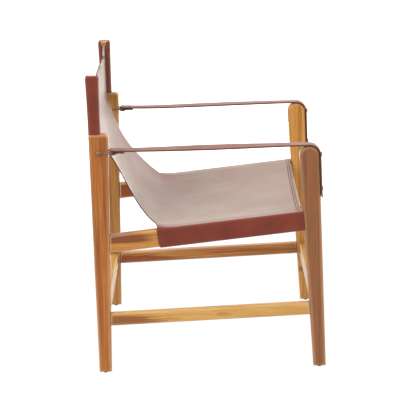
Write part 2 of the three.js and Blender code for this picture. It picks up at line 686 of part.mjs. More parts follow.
// Rings of points joined into a closed skin, the last ring to the first
function skinOfRings(rings) {
  const count = rings[0].length;
  const index = [];
  rings.forEach((_, i) => {
    const next = (i + 1) % rings.length;
    for (let k = 0; k < count; k += 1) {
      const a = i * count + k;
      const b = i * count + ((k + 1) % count);
      const c = next * count + k;
      const d = next * count + ((k + 1) % count);
      index.push(a, b, d, a, d, c);
    }
  });
  return meshOf(rings.flat(), index);
}

// Stations along the rail sleeve, closer together where the hide lifts off
const SLEEVE_STATIONS = [0, 0.12, 0.35, 0.6, 0.8, 0.88, 0.94, 1].map((share) =>
  THREE.MathUtils.lerp(RAIL_SLEEVE_FRONT_Y, RAIL_SLEEVE_REAR_Y, share),
);

// Ring round the rail at one station, this far out from the rail's faces
function railRing(side, y, out, round) {
  const outline = roundedRectangle(RAIL_THICKNESS + 2 * out, RAIL_HEIGHT + 2 * out, round);
  return outline.getPoints(1).slice(0, -1).map((p) => {
    const lift = p.y > 0 ? sleeveLift(y) : 0;
    const place = onRail(SEAT_RAIL, y, RAIL_HEIGHT / 2 + p.y + lift);
    return new THREE.Vector3(side * RAIL_WORLD_X + p.x, place.x, place.y);
  });
}

function railSleeve(side) {
  const outer = SLEEVE_STATIONS.map((y) => railRing(side, y, FIT + LEATHER, RAIL_SLEEVE_ROUND));
  const inner = SLEEVE_STATIONS.map((y) => railRing(side, y, FIT, RAIL_SLEEVE_INNER_ROUND)).reverse();
  return skinOfRings([...outer, ...inner]);
}

// Free side edge of the panel, in the side view, from the back sleeve to the rail sleeve
const FREE_EDGE_END = onRail(SEAT_RAIL, RAIL_SLEEVE_REAR_Y, RAIL_TOP_LEATHER + SLEEVE_LIFT);
const FREE_EDGE = new THREE.CubicBezierCurve(
  new THREE.Vector2(POST_Y, SLEEVE_BOTTOM),
  new THREE.Vector2(POST_Y, SLEEVE_BOTTOM - FREE_EDGE_UPPER_PULL),
  new THREE.Vector2(
    FREE_EDGE_END.x + FREE_EDGE_LOWER_PULL,
    FREE_EDGE_END.y + FREE_EDGE_LOWER_PULL * FREE_EDGE_LOWER_RISE,
  ),
  FREE_EDGE_END,
);
const FREE_EDGE_TOP_X = LEG_X - INNER_FACE - FREE_EDGE_INSET;
const FREE_EDGE_END_X = SEAT_HALF + LEATHER / 2;

// How far the free edge curves in, as a share of the waist's depth
function waist(share) {
  if (share <= WAIST_START || share >= WAIST_END) return 0;
  const quarter = Math.PI / 2;
  if (share < WAIST_PEAK) return Math.sin((quarter * (share - WAIST_START)) / (WAIST_PEAK - WAIST_START));
  return Math.cos((quarter * (share - WAIST_PEAK)) / (WAIST_END - WAIST_PEAK)) ** 2;
}

// Rows of the panel from its top edge to its hem: side-view point, tangent, half width and sag
function panelRows() {
  const rows = [];
  const down = new THREE.Vector2(0, -1);
  const panelTop = SLEEVE_TOP - PANEL_TOP_DROP;
  const seamX = LEG_X - INNER_FACE + LEATHER / 2;
  for (let i = 0; i < BACK_ROWS; i += 1) {
    const share = i / (BACK_ROWS - 1);
    const z = THREE.MathUtils.lerp(panelTop, SLEEVE_BOTTOM + SEAM_END, share);
    const crown = PANEL_CROWN * (1 - share);
    const at = new THREE.Vector2(POST_Y, z);
    rows.push({ at, tangent: down, half: seamX, sag: BACK_SAG * share, crown });
  }
  for (let i = 0; i < EDGE_ROWS; i += 1) {
    const share = i / EDGE_ROWS;
    const width = THREE.MathUtils.lerp(FREE_EDGE_TOP_X, FREE_EDGE_END_X, share) - WAIST_DEPTH * waist(share);
    const sag = THREE.MathUtils.lerp(BACK_SAG, CROOK_SAG, Math.sin((Math.PI / 2) * share));
    rows.push({
      at: FREE_EDGE.getPointAt(share),
      tangent: FREE_EDGE.getTangentAt(share),
      half: width,
      sag,
      crown: 0,
    });
  }
  const forward = new THREE.Vector2(-Math.cos(RAIL_TILT), Math.sin(RAIL_TILT));
  [...SLEEVE_STATIONS].reverse().forEach((y) => {
    const share = (RAIL_SLEEVE_REAR_Y - y) / (RAIL_SLEEVE_REAR_Y - RAIL_SLEEVE_FRONT_Y);
    const early = THREE.MathUtils.lerp(CROOK_SAG, SEAT_SAG, Math.min(1, 2 * share));
    const sag = share < 0.5 ? early : THREE.MathUtils.lerp(SEAT_SAG, HEM_SAG, 2 * share - 1);
    const at = onRail(SEAT_RAIL, y, RAIL_TOP_LEATHER + sleeveLift(y));
    rows.push({ at, tangent: forward, half: RAIL_WORLD_X, sag, crown: 0 });
  });
  return rows;
}

// Columns of the panel, as shares of the width that hangs free
const PANEL_SHARES = [-1, -0.84, -0.6, -0.3, 0, 0.3, 0.6, 0.84, 1];
const PANEL_MARGIN = 0.96; // most of the half width that may hang free

// Middle surface of the panel: a grid of points, row by row
function panelGrid() {
  return panelRows().map(({ at, tangent, half, sag, crown }) => {
    const behind = new THREE.Vector2(-tangent.y, tangent.x);
    const slack = Math.min(PANEL_MARGIN * half, SEAT_HALF - FIT);
    const hung = PANEL_SHARES.map((share) => {
      const bow = 1 - share * share;
      const p = at.clone().addScaledVector(behind, sag * bow);
      return new THREE.Vector3(share * slack, p.x, p.y + crown * bow);
    });
    const edge = (side) => new THREE.Vector3(side * half, at.x, at.y);
    return [edge(-1), ...hung, edge(1)];
  });
}

function panel() {
  const grid = panelGrid();
  const last = grid.length - 1;
  const across = grid[0].length - 1;
  const half = LEATHER / 2 - SKIVE;
  const offset = (i, k, way) => {
    const along = grid[Math.min(i + 1, last)][k].clone().sub(grid[Math.max(i - 1, 0)][k]);
    const over = grid[i][Math.min(k + 1, across)].clone().sub(grid[i][Math.max(k - 1, 0)]);
    return grid[i][k].clone().addScaledVector(along.cross(over).normalize(), way * half);
  };
  const rings = grid.map((row, i) => {
    const upper = row.map((_, k) => offset(i, k, 1));
    const lower = row.map((_, k) => offset(i, k, -1)).reverse();
    return [...upper, ...lower];
  });
  const count = rings[0].length;
  const index = [];
  for (let i = 0; i < last; i += 1) {
    for (let k = 0; k < count; k += 1) {
      const next = (k + 1) % count;
      index.push(i * count + k, i * count + next, (i + 1) * count + next);
      index.push(i * count + k, (i + 1) * count + next, (i + 1) * count + k);
    }
  }
  for (let k = 0; k < across; k += 1) {
    const under = count - 1 - k;
    [0, last].forEach((i) => {
      const corners = [k, k + 1, under - 1, under].map((n) => i * count + n);
      const [a, b, c, d] = i === 0 ? corners.reverse() : corners;
      index.push(a, b, c, a, c, d);
    });
  }
  return meshOf(rings.flat(), index);
}

function sling() {
  const sleeves = Object.values(SIDES).flatMap((side) => [postSleeve(side), railSleeve(side)]);
  return join(panel(), ...sleeves);
}

// Assembly

const chair = new THREE.Group();
chair.name = 'leather_sling_chair';

function add(parent, name, geometry, material) {
  const mesh = new THREE.Mesh(closedMesh(geometry), material);
  mesh.name = name;
  parent.add(mesh);
  return mesh;
}

for (const [name, side] of Object.entries(SIDES)) {
  const frame = new THREE.Group();
  frame.position.x = side * LEG_X;
  chair.add(frame);
  add(frame, `rear_leg_${name}`, rearLeg(side), WOOD);
  add(frame, `front_leg_${name}`, frontLeg(side), WOOD);
  add(frame, `seat_rail_${name}`, railBetweenLegs(SEAT_RAIL), WOOD).position.x = side * RAIL_X;
  add(frame, `side_stretcher_${name}`, railBetweenLegs(SIDE_STRETCHER), PALE_WOOD);
  add(frame, `arm_strap_${name}`, strapSpan(), STRAP_LEATHER);
  add(frame, `arm_strap_front_${name}`, strapFront(), STRAP_LEATHER);
  add(frame, `strap_rivet_${name}`, rivet(), BRASS);
  add(frame, `strap_bail_${name}`, bail(), BRASS);
  add(frame, `bail_pin_${name}`, bailPin(), BRASS);
  add(frame, `strap_stud_upper_${name}`, stud(UPPER_STUD), BRASS);
  add(frame, `strap_stud_lower_${name}`, stud(LOWER_STUD), BRASS);
  add(frame, `foot_glide_rear_${name}`, footGlide(), DARK_PLASTIC).position.y = REAR_GLIDE_Y;
  add(frame, `foot_glide_front_${name}`, footGlide(), DARK_PLASTIC).position.y = FRONT_GLIDE_Y;
}
for (const [name, way] of Object.entries({ front: -1, rear: 1 })) {
  const place = crossPlace(way);
  add(chair, `${name}_cross_stretcher`, crossStretcher(), PALE_WOOD).position.set(0, place.y, place.z);
}
add(chair, 'leather_sling', sling(), SLING_LEATHER);

export default chair;
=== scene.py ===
# Looks of a leather sling lounge chair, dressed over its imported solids.
# Metres, +Z up. The sitter faces -Y and has +X on the left.
import math

import bmesh
import bpy
import numpy as np
from mathutils import Matrix, Vector, noise


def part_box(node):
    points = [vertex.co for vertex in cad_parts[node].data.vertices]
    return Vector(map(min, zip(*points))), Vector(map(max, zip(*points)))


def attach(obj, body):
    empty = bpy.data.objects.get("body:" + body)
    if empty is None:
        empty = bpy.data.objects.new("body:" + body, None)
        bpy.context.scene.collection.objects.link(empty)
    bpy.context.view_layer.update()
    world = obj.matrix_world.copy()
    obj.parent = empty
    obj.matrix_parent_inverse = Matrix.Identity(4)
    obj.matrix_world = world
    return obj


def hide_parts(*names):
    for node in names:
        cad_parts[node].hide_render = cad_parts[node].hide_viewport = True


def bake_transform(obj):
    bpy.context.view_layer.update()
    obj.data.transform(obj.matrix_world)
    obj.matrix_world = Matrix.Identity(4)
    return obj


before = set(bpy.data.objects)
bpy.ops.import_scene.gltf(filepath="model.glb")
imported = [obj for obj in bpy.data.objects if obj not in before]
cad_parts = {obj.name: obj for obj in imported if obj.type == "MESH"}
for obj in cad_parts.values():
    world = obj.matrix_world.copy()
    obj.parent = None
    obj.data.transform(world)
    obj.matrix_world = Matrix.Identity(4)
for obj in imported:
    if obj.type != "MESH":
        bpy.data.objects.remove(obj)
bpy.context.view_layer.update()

MM = 0.001
SIDES = {"right": -1, "left": 1}

# Places read from the frame
rear_leg_low, rear_leg_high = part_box("rear_leg_left")
front_leg_low, front_leg_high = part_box("front_leg_left")
rail_low, rail_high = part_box("seat_rail_left")
strap_low, strap_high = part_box("arm_strap_left")
tail_low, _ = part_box("arm_strap_front_left")
LEG_X = (rear_leg_low.x + rear_leg_high.x) / 2
RAIL_X = (rail_low.x + rail_high.x) / 2
RAIL_THICKNESS = rail_high.x - rail_low.x
REAR_Y = rear_leg_high.y
TOE_Y = front_leg_low.y
POST_TOP = rear_leg_high.z
STRAP_TOP = strap_high.z
STRAP_WIDTH = strap_high.x - strap_low.x
STRAP_TAIL = tail_low.z

# Sizes of the frame that its boxes don't give
RAIL_HEIGHT = 48 * MM
RAIL_TILT = math.radians(5.35)
RAIL_REAR_HEIGHT = 342.6 * MM
RAIL_REAR_Y = 266.56 * MM
SHOULDER_HEIGHT = 669 * MM
FRONT_TOP_RADIUS = 26.6 * MM
FRONT_LEG_LEAN = math.radians(0.993)
FRONT_TOP = np.array([front_leg_high.y - FRONT_TOP_RADIUS, front_leg_high.z - FRONT_TOP_RADIUS])

# Leather sling
LEATHER = 2.6 * MM
FIT = 0.3 * MM
SLEEVE_DEPTH = 33 * MM
SLEEVE_WIDTH = 30 * MM
BACK_SLEEVE_ROUND = 11 * MM
RAIL_SLEEVE_ROUND = 7 * MM
SLEEVE_TOP = POST_TOP - 4.5 * MM
SLEEVE_BOTTOM = SHOULDER_HEIGHT + FIT
NOTCH = 9 * MM
NOTCH_WIDTH = 7 * MM
NOTCH_FADE = 45 * MM
POST_Y = REAR_Y - SLEEVE_DEPTH / 2
RAIL_SLEEVE_REAR = REAR_Y - 177 * MM
RAIL_SLEEVE_FRONT = TOE_Y + 54 * MM
RAIL_TOP_LEATHER = RAIL_HEIGHT + FIT + LEATHER / 2
SLEEVE_LIFT = 8 * MM
SLEEVE_LIFT_LENGTH = 55 * MM
SLEEVE_LIFT_OUTER = 0.35
LEFT_LOOSE = 4.6 * MM
LEFT_LOOSE_FADE = 60 * MM
SLEEVE_SLANT = 7.8 * MM
SLEEVE_SLANT_BEND = 2.6
SLEEVE_SLANT_LENGTH = 30 * MM
PANEL_TOP_DROP = 37 * MM
PANEL_CROWN = 10 * MM
EAR_WIDTH = 6 * MM
WAIST_DEPTH = 79 * MM
WAIST_START, WAIST_PEAK, WAIST_END = 0.06, 0.385, 0.95
FREE_EDGE_UPPER_PULL = 13 * MM
FREE_EDGE_LOWER_PULL = 73 * MM
FREE_EDGE_LOWER_RISE = 0.76
BACK_SAG, CROOK_SAG, SEAT_SAG, HEM_SAG = 5 * MM, 21 * MM, 9 * MM, 4 * MM
SEAM_FILLET = 7 * MM
SEAM_DEPTH, SEAM_LEAF = 5.5 * MM, 6 * MM
LEAF_DROP, LEAF_HALF = 22 * MM, 13 * MM
SLEEVE_FLARE = 1.8 * MM
TOP_CURL, TOP_CURL_TURNS = 6.1 * MM, (17, 34, 51)
TOP_CORNER_DROP = 3 * MM
TOP_CORNER_FADE = 12 * MM
FLAP_GAP = LEATHER + 0.4 * MM
FLAP_LENGTH = 15 * MM
POST_FLAP_TURN, RAIL_FLAP_TURN = 3 * MM, 4 * MM
HEM_FOLD, HEM_FOLD_TURNS = 19 * MM, (36, 72, 108, 144, 180)
HEM_HALF = 245 * MM
HEM_LEAD, HEM_SKEW, HEM_BOW = 1.6 * MM, 2.6 * MM, 1.7 * MM
HEM_PULL, HEM_PULL_BEND = 3.8 * MM, 16
HEM_STITCHES = (8 * MM, 14 * MM)
TOP_HEM, TOP_HEM_LEAN = 12 * MM, 0.6 * MM
STITCH_GROOVE = 0.5 * MM
ROW_STEP = 5 * MM
CROOK_SMOOTHING = 30 * MM
MIDDLE_EASING = 38 * MM
RIPPLE, RIPPLE_ACROSS, RIPPLE_ALONG = 0.9 * MM, 9, 7
SLACK_SHARE, SLACK_EASING = 0.985, 0.0004
COLUMNS, COLUMN_CROWDING = 91, 1.25
HEM_ROWS = (2 * MM, 4.5 * MM, 11 * MM, 18.5 * MM)
HEM_FOLD_ROWS = (3.5 * MM, HEM_STITCHES[0], 11 * MM, HEM_STITCHES[1], 16.5 * MM, HEM_FOLD)
STITCH_SPREAD, ROW_CLEARANCE = 1.4 * MM, 1.2 * MM
# Reach of the painted sheen on the cut edges at the panel's top corners
SHEEN_PAINT_INNER, SHEEN_PAINT_OUTER, SHEEN_PAINT_DEPTH, SHEEN_PAINT_DROP = 16 * MM, 8 * MM, 9 * MM, 42 * MM

# Arm straps
STRAP_THICKNESS = 4.2 * MM
STRAP_DIP = {"right": 2.4 * MM, "left": 5.0 * MM}
STRAP_ROLL = {"right": math.radians(8.0), "left": math.radians(3.0)}
STRAP_FLARE = 1.2 * MM
STRAP_FLARE_LENGTH = 20 * MM
STRAP_EDGE_ROUND, STRAP_CORNER = 1.5 * MM, 5 * MM
TAIL_STEPS, SPAN_STEPS = 28, 110
LOOP_INNER = 2.4 * MM
LOOP_POCKET = 4 * MM
LOOP_THROAT = 16 * MM
FOLD_LENGTH = 41 * MM

# Camera of the photograph
CAMERA_PLACE = Vector((-4.396, -0.003, 1.560))
CAMERA_YAW, CAMERA_PITCH, CAMERA_ROLL = (math.radians(a) for a in (0.11, -14.96, -1.75))
CAMERA_FOCAL_PIXELS = 1590.3
PHOTO_PIXELS = 412
SENSOR = 36.0


# Small helpers

def link(obj):
    bpy.context.scene.collection.objects.link(obj)
    return obj


def mesh_object(name, points, faces, material, smooth=True):
    mesh = bpy.data.meshes.new(name)
    mesh.from_pydata([tuple(float(c) for c in p) for p in points], [], faces)
    mesh.materials.append(material)
    mesh.polygons.foreach_set("use_smooth", [smooth] * len(mesh.polygons))
    return link(bpy.data.objects.new(name, mesh))


def face_outwards(mesh):
    tidy = bmesh.new()
    tidy.from_mesh(mesh)
    bmesh.ops.recalc_face_normals(tidy, faces=tidy.faces)
    tidy.to_mesh(mesh)
    tidy.free()


def lay_flat(mesh, stretch):
    """Stores each point's place on the flat hide, in metres, for the leather's pattern."""
    layer = mesh.uv_layers.new(name="hide")
    for loop in mesh.loops:
        layer.data[loop.index].uv = stretch[loop.vertex_index]


def line(start, end, count):
    """Points from start up to, but not at, end."""
    return [np.array(start) + (np.array(end) - np.array(start)) * i / count for i in range(count)]


def arc(centre, radius, start, end, count):
    """Points on an arc, in degrees, up to but not at its end."""
    angles = [math.radians(start + (end - start) * i / count) for i in range(count)]
    return [np.array(centre) + radius * np.array([math.cos(a), math.sin(a)]) for a in angles]


def travelled(points):
    """Distance along a line of points, up to each of them."""
    return np.concatenate([[0], np.cumsum(np.linalg.norm(np.diff(points, axis=0), axis=1))])


def along_line(distance, run, points):
    """Point of a line at a distance along it; run is the distance up to each of its points."""
    return np.array([np.interp(distance, run, points[:, k]) for k in range(3)])


def smoothstep(t):
    t = np.clip(t, 0, 1)
    return t * t * (3 - 2 * t)


RIM_SLOT, BACK_SLOT, SHEEN_PAINT_SLOT = 1, 2, 3


def solidify(obj, thickness, rim_material, back_material):
    """Gives an open sheet its thickness, with slightly rounded cut edges, and keeps the result."""
    obj.data.materials.append(rim_material)
    obj.data.materials.append(back_material)
    shell = obj.modifiers.new("thickness", "SOLIDIFY")
    shell.thickness = thickness
    shell.offset = 0
    shell.material_offset_rim = RIM_SLOT
    shell.material_offset = BACK_SLOT
    rounding = obj.modifiers.new("cut_edges", "BEVEL")
    rounding.width = thickness / 5
    rounding.segments = 2
    rounding.limit_method = "ANGLE"
    rounding.angle_limit = math.radians(60)
    evaluated = obj.evaluated_get(bpy.context.evaluated_depsgraph_get())
    mesh = bpy.data.meshes.new_from_object(evaluated)
    obj.modifiers.clear()
    obj.data = mesh
    return obj


# Shader helpers

class Shader:
    """The node tree of a material or world, with short ways to add and join nodes."""

    def __init__(self, owner):
        owner.use_nodes = True
        self.owner = owner
        self.nodes = owner.node_tree.nodes
        self.links = owner.node_tree.links
        self.surface = self.nodes.get("Principled BSDF")

    def add(self, kind, inputs=None, **settings):
        node = self.nodes.new("ShaderNode" + kind)
        for key, value in settings.items():
            setattr(node, key, value)
        for key, value in (inputs or {}).items():
            self.feed(node.inputs[key], value)
        return node

    def feed(self, socket, value):
        if isinstance(value, bpy.types.NodeSocket):
            self.links.new(value, socket)
        else:
            socket.default_value = value

    def set(self, **inputs):
        for key, value in inputs.items():
            self.feed(self.surface.inputs[key.replace("_", " ")], value)

    def coordinates(self, scale, offset=(0, 0, 0), kind="Object"):
        source = self.add("TexCoord").outputs[kind]
        inputs = {"Vector": source, "Scale": scale, "Location": offset}
        return self.add("Mapping", inputs).outputs["Vector"]

    def noise(self, vector, scale, detail=3.0, roughness=0.5, distortion=0.0):
        inputs = {"Vector": vector, "Scale": scale, "Detail": detail, "Roughness": roughness,
                  "Distortion": distortion}
        return self.add("TexNoise", inputs).outputs["Fac"]

    def ramp(self, factor, *stops):
        node = self.add("ValToRGB", {"Fac": factor})
        elements = node.color_ramp.elements
        while len(elements) < len(stops):
            elements.new(0.5)
        for element, (position, colour) in zip(elements, stops):
            element.position = position
            element.color = (*colour, 1)
        return node.outputs["Color"]

    def span(self, value, low, high, to_low=0.0, to_high=1.0):
        inputs = {"Value": value, "From Min": low, "From Max": high,
                  "To Min": to_low, "To Max": to_high}
        return self.add("MapRange", inputs).outputs["Result"]

    def mix(self, factor, a, b, blend="MIX"):
        node = self.add("Mix", data_type="RGBA", blend_type=blend)
        self.feed(node.inputs["Factor"], factor)
        self.feed(node.inputs["A"], a)
        self.feed(node.inputs["B"], b)
        return node.outputs["Result"]

    def math(self, operation, a, b):
        node = self.add("Math", operation=operation)
        self.feed(node.inputs[0], a)
        self.feed(node.inputs[1], b)
        return node.outputs["Value"]

    def bump(self, height, strength, distance, normal=None):
        inputs = {"Height": height, "Strength": strength, "Distance": distance}
        if normal is not None:
            inputs["Normal"] = normal
        return self.add("Bump", inputs).outputs["Normal"]


# Materials

GRAIN_AXES = {"x": 0, "y": 1, "z": 2}
GRAIN_STRETCH = 0.032
GRAIN_SHIFT = (0.37, 0.61, 0.23)
BROAD_STREAKS, FINE_STREAKS, FIBRES, HEART_EDGES = 85, 230, 1200, 110
HEART_RAGGED = 0.35
# Pale band along the wood's rounded edges: partly wear, partly a painted highlight
EDGE_WEAR_AND_HIGHLIGHT_REACH, EDGE_WEAR_AND_HIGHLIGHT_SHARE = 8 * MM, 0.6
WORN_AND_HIGHLIT_WOOD = (0.76, 0.47, 0.25)
SATIN = 0.52
POLISHED = 0.3

HIDE_STREAKS = (14.0, 1.1, 1.0)
PATCHES, CLOUDS, PEBBLES, PORES = 9, 13, 620.0, 1500
PANEL_PLACE, SEAM_PLACE = 0.281, 0.288
DULL_BACK_LENGTH, DULL_BACK = 0.2, 0.2


def wood(name, grain, tones, seed, hearts, matt=SATIN):
    """Oiled hardwood: broad and fine streaks along the grain, patches of dark heartwood, and paler
    rounded edges that are partly wear and partly a painted highlight.

    A heart is its middle and its reach, as (y, z) pairs, and how strongly it shows.
    """
    shader = Shader(bpy.data.materials.new(name))
    along = [1.0, 1.0, 1.0]
    along[GRAIN_AXES[grain]] = GRAIN_STRETCH
    place = shader.coordinates(along, [shift * seed for shift in GRAIN_SHIFT])
    broad = shader.noise(place, BROAD_STREAKS, detail=2.0, roughness=0.55, distortion=0.4)
    fine = shader.noise(place, FINE_STREAKS, detail=3.0, roughness=0.6, distortion=0.4)
    fibres = shader.noise(place, FIBRES, detail=2.0, roughness=0.7)
    tone = shader.ramp(broad, (0.36, tones["dark"]), (0.46, tones["mid"]), (0.56, tones["pale"]),
                       (0.66, tones["mid"]))
    edges = shader.noise(place, HEART_EDGES, detail=3.0, roughness=0.65, distortion=1.5)
    ragged = shader.span(edges, 0.3, 0.7, -HEART_RAGGED, HEART_RAGGED)
    for (y, z), (reach_y, reach_z), strength in hearts:
        scaled = shader.coordinates((0, 1 / reach_y, 1 / reach_z), (0, -y / reach_y, -z / reach_z))
        away = shader.add("VectorMath", {0: scaled}, operation="LENGTH").outputs["Value"]
        torn = shader.math("ADD", away, ragged)
        core = shader.span(torn, 1.15, 0.75, 0.0, strength)
        tone = shader.mix(core, tone, tones["heart"] + (1,))
    fine_tone = shader.ramp(fine, (0.34, (0.74, 0.68, 0.62)), (0.58, (1, 1, 1)))
    fibre_tone = shader.ramp(fibres, (0.3, (0.8, 0.76, 0.72)), (0.6, (1, 1, 1)))
    colour = shader.mix(0.75, tone, fine_tone, "MULTIPLY")
    colour = shader.mix(0.5, colour, fibre_tone, "MULTIPLY")
    # Rounded edges are paled here: partly wear, partly a painted highlight for the light that rounded
    # edges catch
    rounded = shader.add("Bevel", {"Radius": EDGE_WEAR_AND_HIGHLIGHT_REACH}, samples=8).outputs["Normal"]
    facing = shader.add("NewGeometry").outputs["True Normal"]
    turned = shader.add("VectorMath", {0: rounded, 1: facing}, operation="DOT_PRODUCT")
    worn = shader.span(turned.outputs["Value"], 0.996, 0.972, 0.0, EDGE_WEAR_AND_HIGHLIGHT_SHARE)
    colour = shader.mix(worn, colour, WORN_AND_HIGHLIT_WOOD + (1,))
    roughness = shader.span(fibres, 0.3, 0.7, matt, matt - 0.1)
    shader.set(Base_Color=colour, Roughness=roughness, IOR=1.42)
    shader.set(Coat_Weight=0.15, Coat_Roughness=0.3, Coat_IOR=1.4)
    shader.set(Normal=shader.bump(fibres, 0.04, 0.3 * MM, rounded))
    return shader.owner


def leather(name, deep, warm, worn, roughness, sheen, painted_sheen=None):
    """Finished hide: pebbled grain, patches and streaks along its length, and a waxed bloom.

    A paler, less red tone, if given, is laid over the panel between the sleeves: a painted sheen that
    stands in for the panel's glossy reflection, on the same hide as the sleeves.
    """
    shader = Shader(bpy.data.materials.new(name))
    hide = shader.coordinates((1, 1, 1), kind="UV")
    drawn_out = shader.add("Mapping", {"Vector": hide, "Scale": HIDE_STREAKS}).outputs["Vector"]
    patches = shader.noise(hide, PATCHES, detail=3.0, roughness=0.6)
    streaks = shader.noise(drawn_out, PATCHES, detail=3.0, roughness=0.6)
    pebbles = shader.add("TexVoronoi", {"Vector": hide, "Scale": PEBBLES}, feature="DISTANCE_TO_EDGE")
    pores = shader.noise(hide, PORES, detail=2.0, roughness=0.6)
    tone = shader.ramp(patches, (0.32, deep), (0.5, warm), (0.68, worn))
    # The panel's paler tone is a painted sheen: the sleeves' hide, lightened for its glossy reflection
    if painted_sheen is not None:
        across, along, _ = shader.add("SeparateXYZ", {0: hide}).outputs
        from_middle = shader.add("Math", {0: across}, operation="ABSOLUTE").outputs["Value"]
        shifted = shader.coordinates((1, 0.7, 1), (0.3, 0.1, 0), "UV")
        clouds = shader.noise(shifted, CLOUDS, detail=4.0, roughness=0.62, distortion=0.6)
        red, green, blue = painted_sheen
        painted_sheen_tone = shader.ramp(clouds, (0.34, (red, 0.62 * green, 0.5 * blue)), (0.5, painted_sheen),
                                (0.66, (0.92 * red, 1.3 * green, 1.5 * blue)))
        tone = shader.mix(shader.span(from_middle, SEAM_PLACE, PANEL_PLACE), tone, painted_sheen_tone)
    streak_tone = shader.ramp(streaks, (0.25, (0.9, 0.87, 0.84)), (0.65, (1, 1, 1)))
    colour = shader.mix(0.6, tone, streak_tone, "MULTIPLY")
    worn_smooth = shader.math("ADD", shader.math("MULTIPLY", streaks, 0.4),
                              shader.math("MULTIPLY", patches, 0.6))
    polish = shader.span(worn_smooth, 0.36, 0.64, roughness + 0.05, roughness - 0.05)
    if painted_sheen is not None:
        duller = shader.span(along, 0.0, DULL_BACK_LENGTH, DULL_BACK, 0.0)
        polish = shader.math("ADD", polish, duller)
    height = shader.math("ADD", pebbles.outputs["Distance"], pores)
    shader.set(Base_Color=colour, Roughness=polish, IOR=1.45)
    shader.set(Sheen_Weight=sheen, Sheen_Roughness=0.4, Sheen_Tint=(0.83, 0.88, 0.67, 1))
    shader.set(Normal=shader.bump(height, 0.05, 0.3 * MM))
    return shader.owner


def plain(name, low, high, roughness, metallic=0.0, scale=300.0):
    """Metal, plastic or thread with a faint mottle in its colour and polish."""
    shader = Shader(bpy.data.materials.new(name))
    mottle = shader.noise(shader.coordinates((1, 1, 1)), scale, detail=3.0, roughness=0.6)
    polish = shader.span(mottle, 0.3, 0.7, roughness - 0.07, roughness + 0.1)
    shader.set(Base_Color=shader.ramp(mottle, (0.3, low), (0.7, high)), Roughness=polish)
    shader.set(Metallic=metallic, IOR=1.35, Normal=shader.bump(mottle, 0.06, 0.1 * MM))
    return shader.owner


BROWN = dict(dark=(0.3, 0.082, 0.012), mid=(0.38, 0.118, 0.018),
             pale=(0.48, 0.17, 0.03), heart=(0.22, 0.055, 0.01))
UMBER = dict(dark=(0.235, 0.083, 0.027), mid=(0.265, 0.096, 0.031),
             pale=(0.3, 0.112, 0.036), heart=(0.17, 0.055, 0.018))
# A darker copy of the golden tone for the far rear leg: painted shade
GOLDEN_PAINTED_SHADE = dict(dark=(0.34, 0.14, 0.024), mid=(0.41, 0.18, 0.034),
             pale=(0.49, 0.225, 0.05), heart=(0.24, 0.075, 0.016))
GOLDEN = dict(dark=(0.4, 0.15, 0.025), mid=(0.5, 0.21, 0.04),
              pale=(0.6, 0.28, 0.07), heart=(0.22, 0.066, 0.014))
BRIGHT = dict(dark=(0.5, 0.2, 0.034), mid=(0.6, 0.27, 0.05),
              pale=(0.7, 0.34, 0.08), heart=(0.32, 0.1, 0.02))
HONEY = dict(dark=(0.52, 0.25, 0.05), mid=(0.6, 0.32, 0.074),
             pale=(0.68, 0.39, 0.115), heart=(0.3, 0.11, 0.023))
RUSSET = dict(dark=(0.34, 0.105, 0.02), mid=(0.44, 0.17, 0.036),
              pale=(0.56, 0.26, 0.065), heart=(0.27, 0.062, 0.012))

WOODS = {
    "rear_leg_right": ("z", BROWN, []),
    "rear_leg_left": ("z", GOLDEN_PAINTED_SHADE, []),
    "front_leg_right": ("z", UMBER, []),
    "front_leg_left": ("z", BRIGHT, [((-0.2785, 0.103), (0.006, 0.009), 0.9)]),
    "seat_rail_right": ("y", GOLDEN, [((0.232, 0.382), (0.085, 0.014), 1.0)]),
    "seat_rail_left": ("y", RUSSET, [((0.2, 0.37), (0.2, 0.02), 1.0)]),
    "side_stretcher_right": ("y", HONEY, [((0.262, 0.15), (0.13, 0.016), 1.0),
                                          ((-0.034, 0.162), (0.02, 0.006), 0.4)]),
    "side_stretcher_left": ("y", RUSSET, [((0.25, 0.147), (0.16, 0.017), 0.9)]),
    "front_cross_stretcher": ("x", HONEY, [], POLISHED),
    "rear_cross_stretcher": ("x", HONEY, [], POLISHED),
}

# The last, paler tone is the panel's painted sheen
sling_leather = leather("sling_leather", (0.14, 0.016, 0.006), (0.175, 0.023, 0.008), (0.2, 0.032, 0.012),
                        roughness=0.4, sheen=0.4, painted_sheen=(0.15, 0.037, 0.016))
strap_leather = leather("strap_leather", (0.15, 0.038, 0.019), (0.18, 0.05, 0.025), (0.2, 0.06, 0.032),
                        roughness=0.55, sheen=0.15)
cut_edge = plain("burnished_edge", (0.035, 0.01, 0.006), (0.065, 0.02, 0.011), 0.7, scale=500.0)
flesh_side = plain("flesh_side", (0.13, 0.055, 0.03), (0.2, 0.09, 0.05), 0.9, scale=700.0)
# Pale colour for the cut edges at the panel's top corners: a painted sheen
corner_sheen_paint = plain("corner_sheen_paint", (0.42, 0.33, 0.27), (0.55, 0.45, 0.38), 0.8, scale=500.0)
strap_edge = plain("strap_edge", (0.1, 0.032, 0.02), (0.15, 0.05, 0.03), 0.5, scale=500.0)
hem_thread = plain("hem_thread", (0.05, 0.022, 0.016), (0.09, 0.04, 0.03), 0.6, scale=900.0)
brass = plain("aged_brass", (0.16, 0.1, 0.055), (0.34, 0.23, 0.13), 0.4, metallic=0.85)
plastic = plain("dark_plastic", (0.03, 0.02, 0.014), (0.05, 0.034, 0.024), 0.5)


def dress(node, material, angle=40):
    """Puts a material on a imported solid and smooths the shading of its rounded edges."""
    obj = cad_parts[node]
    mesh = obj.data
    mesh.materials.clear()
    mesh.materials.append(material)
    mesh.shade_smooth()
    mesh.set_sharp_from_angle(angle=math.radians(angle))
    even = obj.modifiers.new("even_shading", "WEIGHTED_NORMAL")
    even.keep_sharp = True


